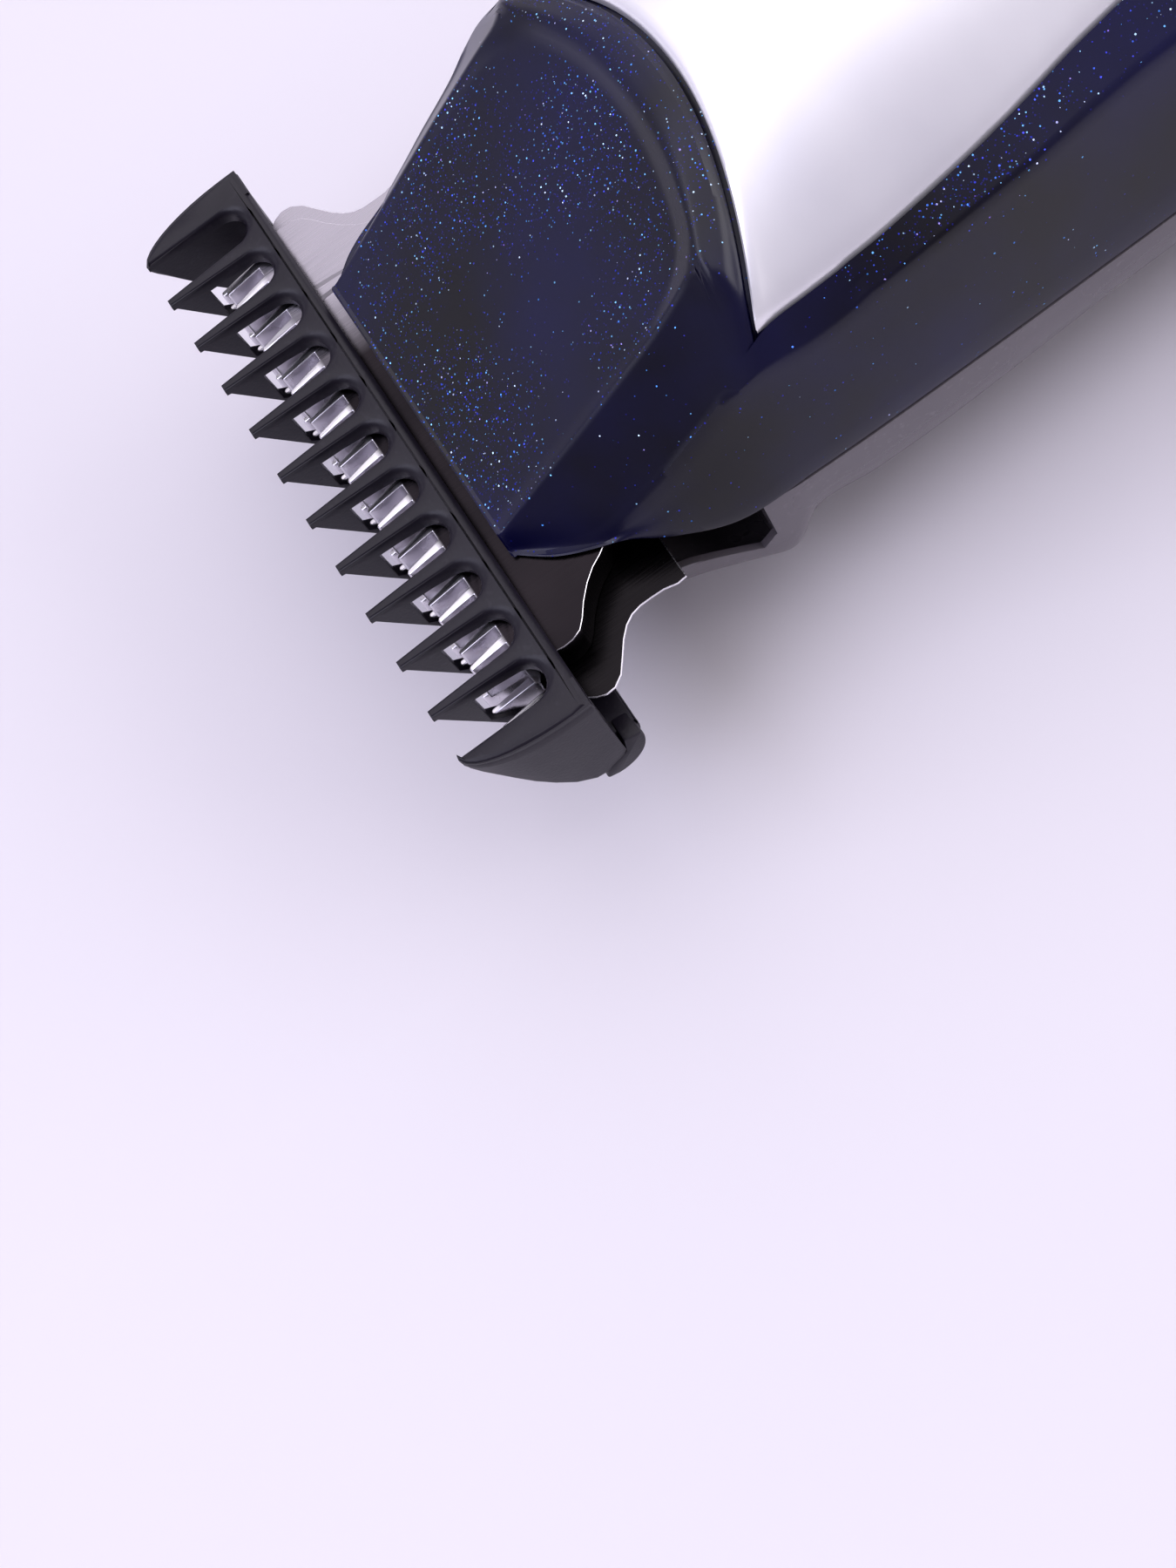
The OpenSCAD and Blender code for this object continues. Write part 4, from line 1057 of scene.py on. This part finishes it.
# ---------------------------------------------------------------- the object
shell, panel, back = front_shell(), face_panel(), rear_shell()
cut_openings(shell, panel, back)
for piece, node in ((shell, "front_shell"), (panel, "face_panel"), (back, "rear_shell")):
    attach(piece, "housing")
    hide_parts(node)
fixed, moving = blades()
comb = guide_comb()
button, boot, lens = button_pieces()
made = {"front_shell": shell, "face_panel": panel, "rear_shell": back, "fixed_blade": fixed, "moving_blade": moving,
        "guide_comb": comb, "power_button": button, "button_boot": boot, "indicator_lens": lens}
for node, piece in made.items():
    finish_piece(piece, SLOT_OF[node])
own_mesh(boot)
for node, obj in frame["nodes"].items():
    if node in made:
        continue
    if not obj.data.materials:
        obj.data.materials.append(None)
    for i in range(len(obj.data.materials)):
        obj.data.materials[i] = MATERIALS[SLOT_OF[node]]

# ---------------------------------------------------------------- floor, light, camera
def floor_sheet():
    mat, tree, shader = start_material("pale_table")
    g = use_group(tree, GRAIN, Grain_per_metre=900.0, Cloud_per_metre=5.0)
    tree.links.new(mixed(tree, between(tree, g.outputs[1], 0.35, 0.65), (0.70, 0.672, 0.712), (0.735, 0.705, 0.745)),
                   shader.inputs["Base Color"])
    shader.inputs["Roughness"].default_value = 0.7
    shader.inputs["Specular IOR Level"].default_value = 0.2
    mesh = bpy.data.meshes.new("table_top")
    bm = bmesh.new()
    bmesh.ops.create_grid(bm, x_segments=8, y_segments=8, size=1.6)
    bm.to_mesh(mesh)
    bm.free()
    obj = bpy.data.objects.new("table_top", mesh)
    obj.location = (0.2, 0.0, -0.00005)
    bpy.context.scene.collection.objects.link(obj)
    mesh.materials.append(mat)


def soft_light(name, direction, distance, size, power, colour, aim):
    data = bpy.data.lights.new(name, "AREA")
    data.shape = "RECTANGLE"
    data.size, data.size_y = size
    data.energy = power
    data.color = colour
    obj = bpy.data.objects.new(name, data)
    d = Vector(direction).normalized()
    obj.location = Vector(aim) + d * distance
    obj.rotation_euler = d.to_track_quat("Z", "Y").to_euler()
    bpy.context.scene.collection.objects.link(obj)
    return obj


def studio():
    floor_sheet()
    aim = (0.0, -0.05, 0.01)
    soft_light("overhead_box", (-0.38, 0.34, 0.88), 0.75, (1.35, 1.28), 6.7, (1.0, 0.965, 1.0), aim)
    soft_light("back_fill", (0.36, 0.84, 0.42), 1.1, (1.0, 0.6), 6.5, (1.0, 0.97, 1.0), aim)
    soft_light("front_strip", (0.0, -0.62, 0.78), 0.9, (0.85, 0.46), 4.3, (0.80, 0.80, 1.0), aim)
    soft_light("low_front", (-0.6, -0.8, 0.07), 0.9, (0.7, 0.12), 0.4, (0.9, 0.88, 1.0), aim)
    world = bpy.data.worlds.new("studio_air")
    world.use_nodes = True
    tree = world.node_tree
    place = put(tree, "ShaderNodeTexCoord").outputs["Generated"]
    across = put(tree, "ShaderNodeSeparateXYZ", Vector=place).outputs["X"]
    room = ramp(tree, between(tree, across, -1.0, 1.0),
                [(0.2, (0.42, 0.39, 0.48)), (0.5, (0.34, 0.32, 0.40)), (0.8, (0.22, 0.20, 0.26))])
    tree.links.new(room, tree.nodes["Background"].inputs[0])
    bpy.context.scene.world = world


def camera():
    data = bpy.data.cameras.new("camera")
    data.sensor_fit = "AUTO"
    data.sensor_width = 36.0
    data.lens = 68.0
    data.clip_start, data.clip_end = 0.01, 10
    obj = bpy.data.objects.new("camera", data)
    right, up, away = (0.484434, 0.820723, -0.302882), (-0.736902, 0.569415, 0.364337), (0.471486, 0.046697, 0.880636)
    place = Matrix((right, up, away)).transposed().to_4x4()
    place.translation = (0.0955, -0.06903, 0.14687)
    obj.matrix_world = place
    bpy.context.scene.collection.objects.link(obj)
    bpy.context.scene.camera = obj


studio()
camera()
bpy.context.scene.view_settings.view_transform = "Standard"
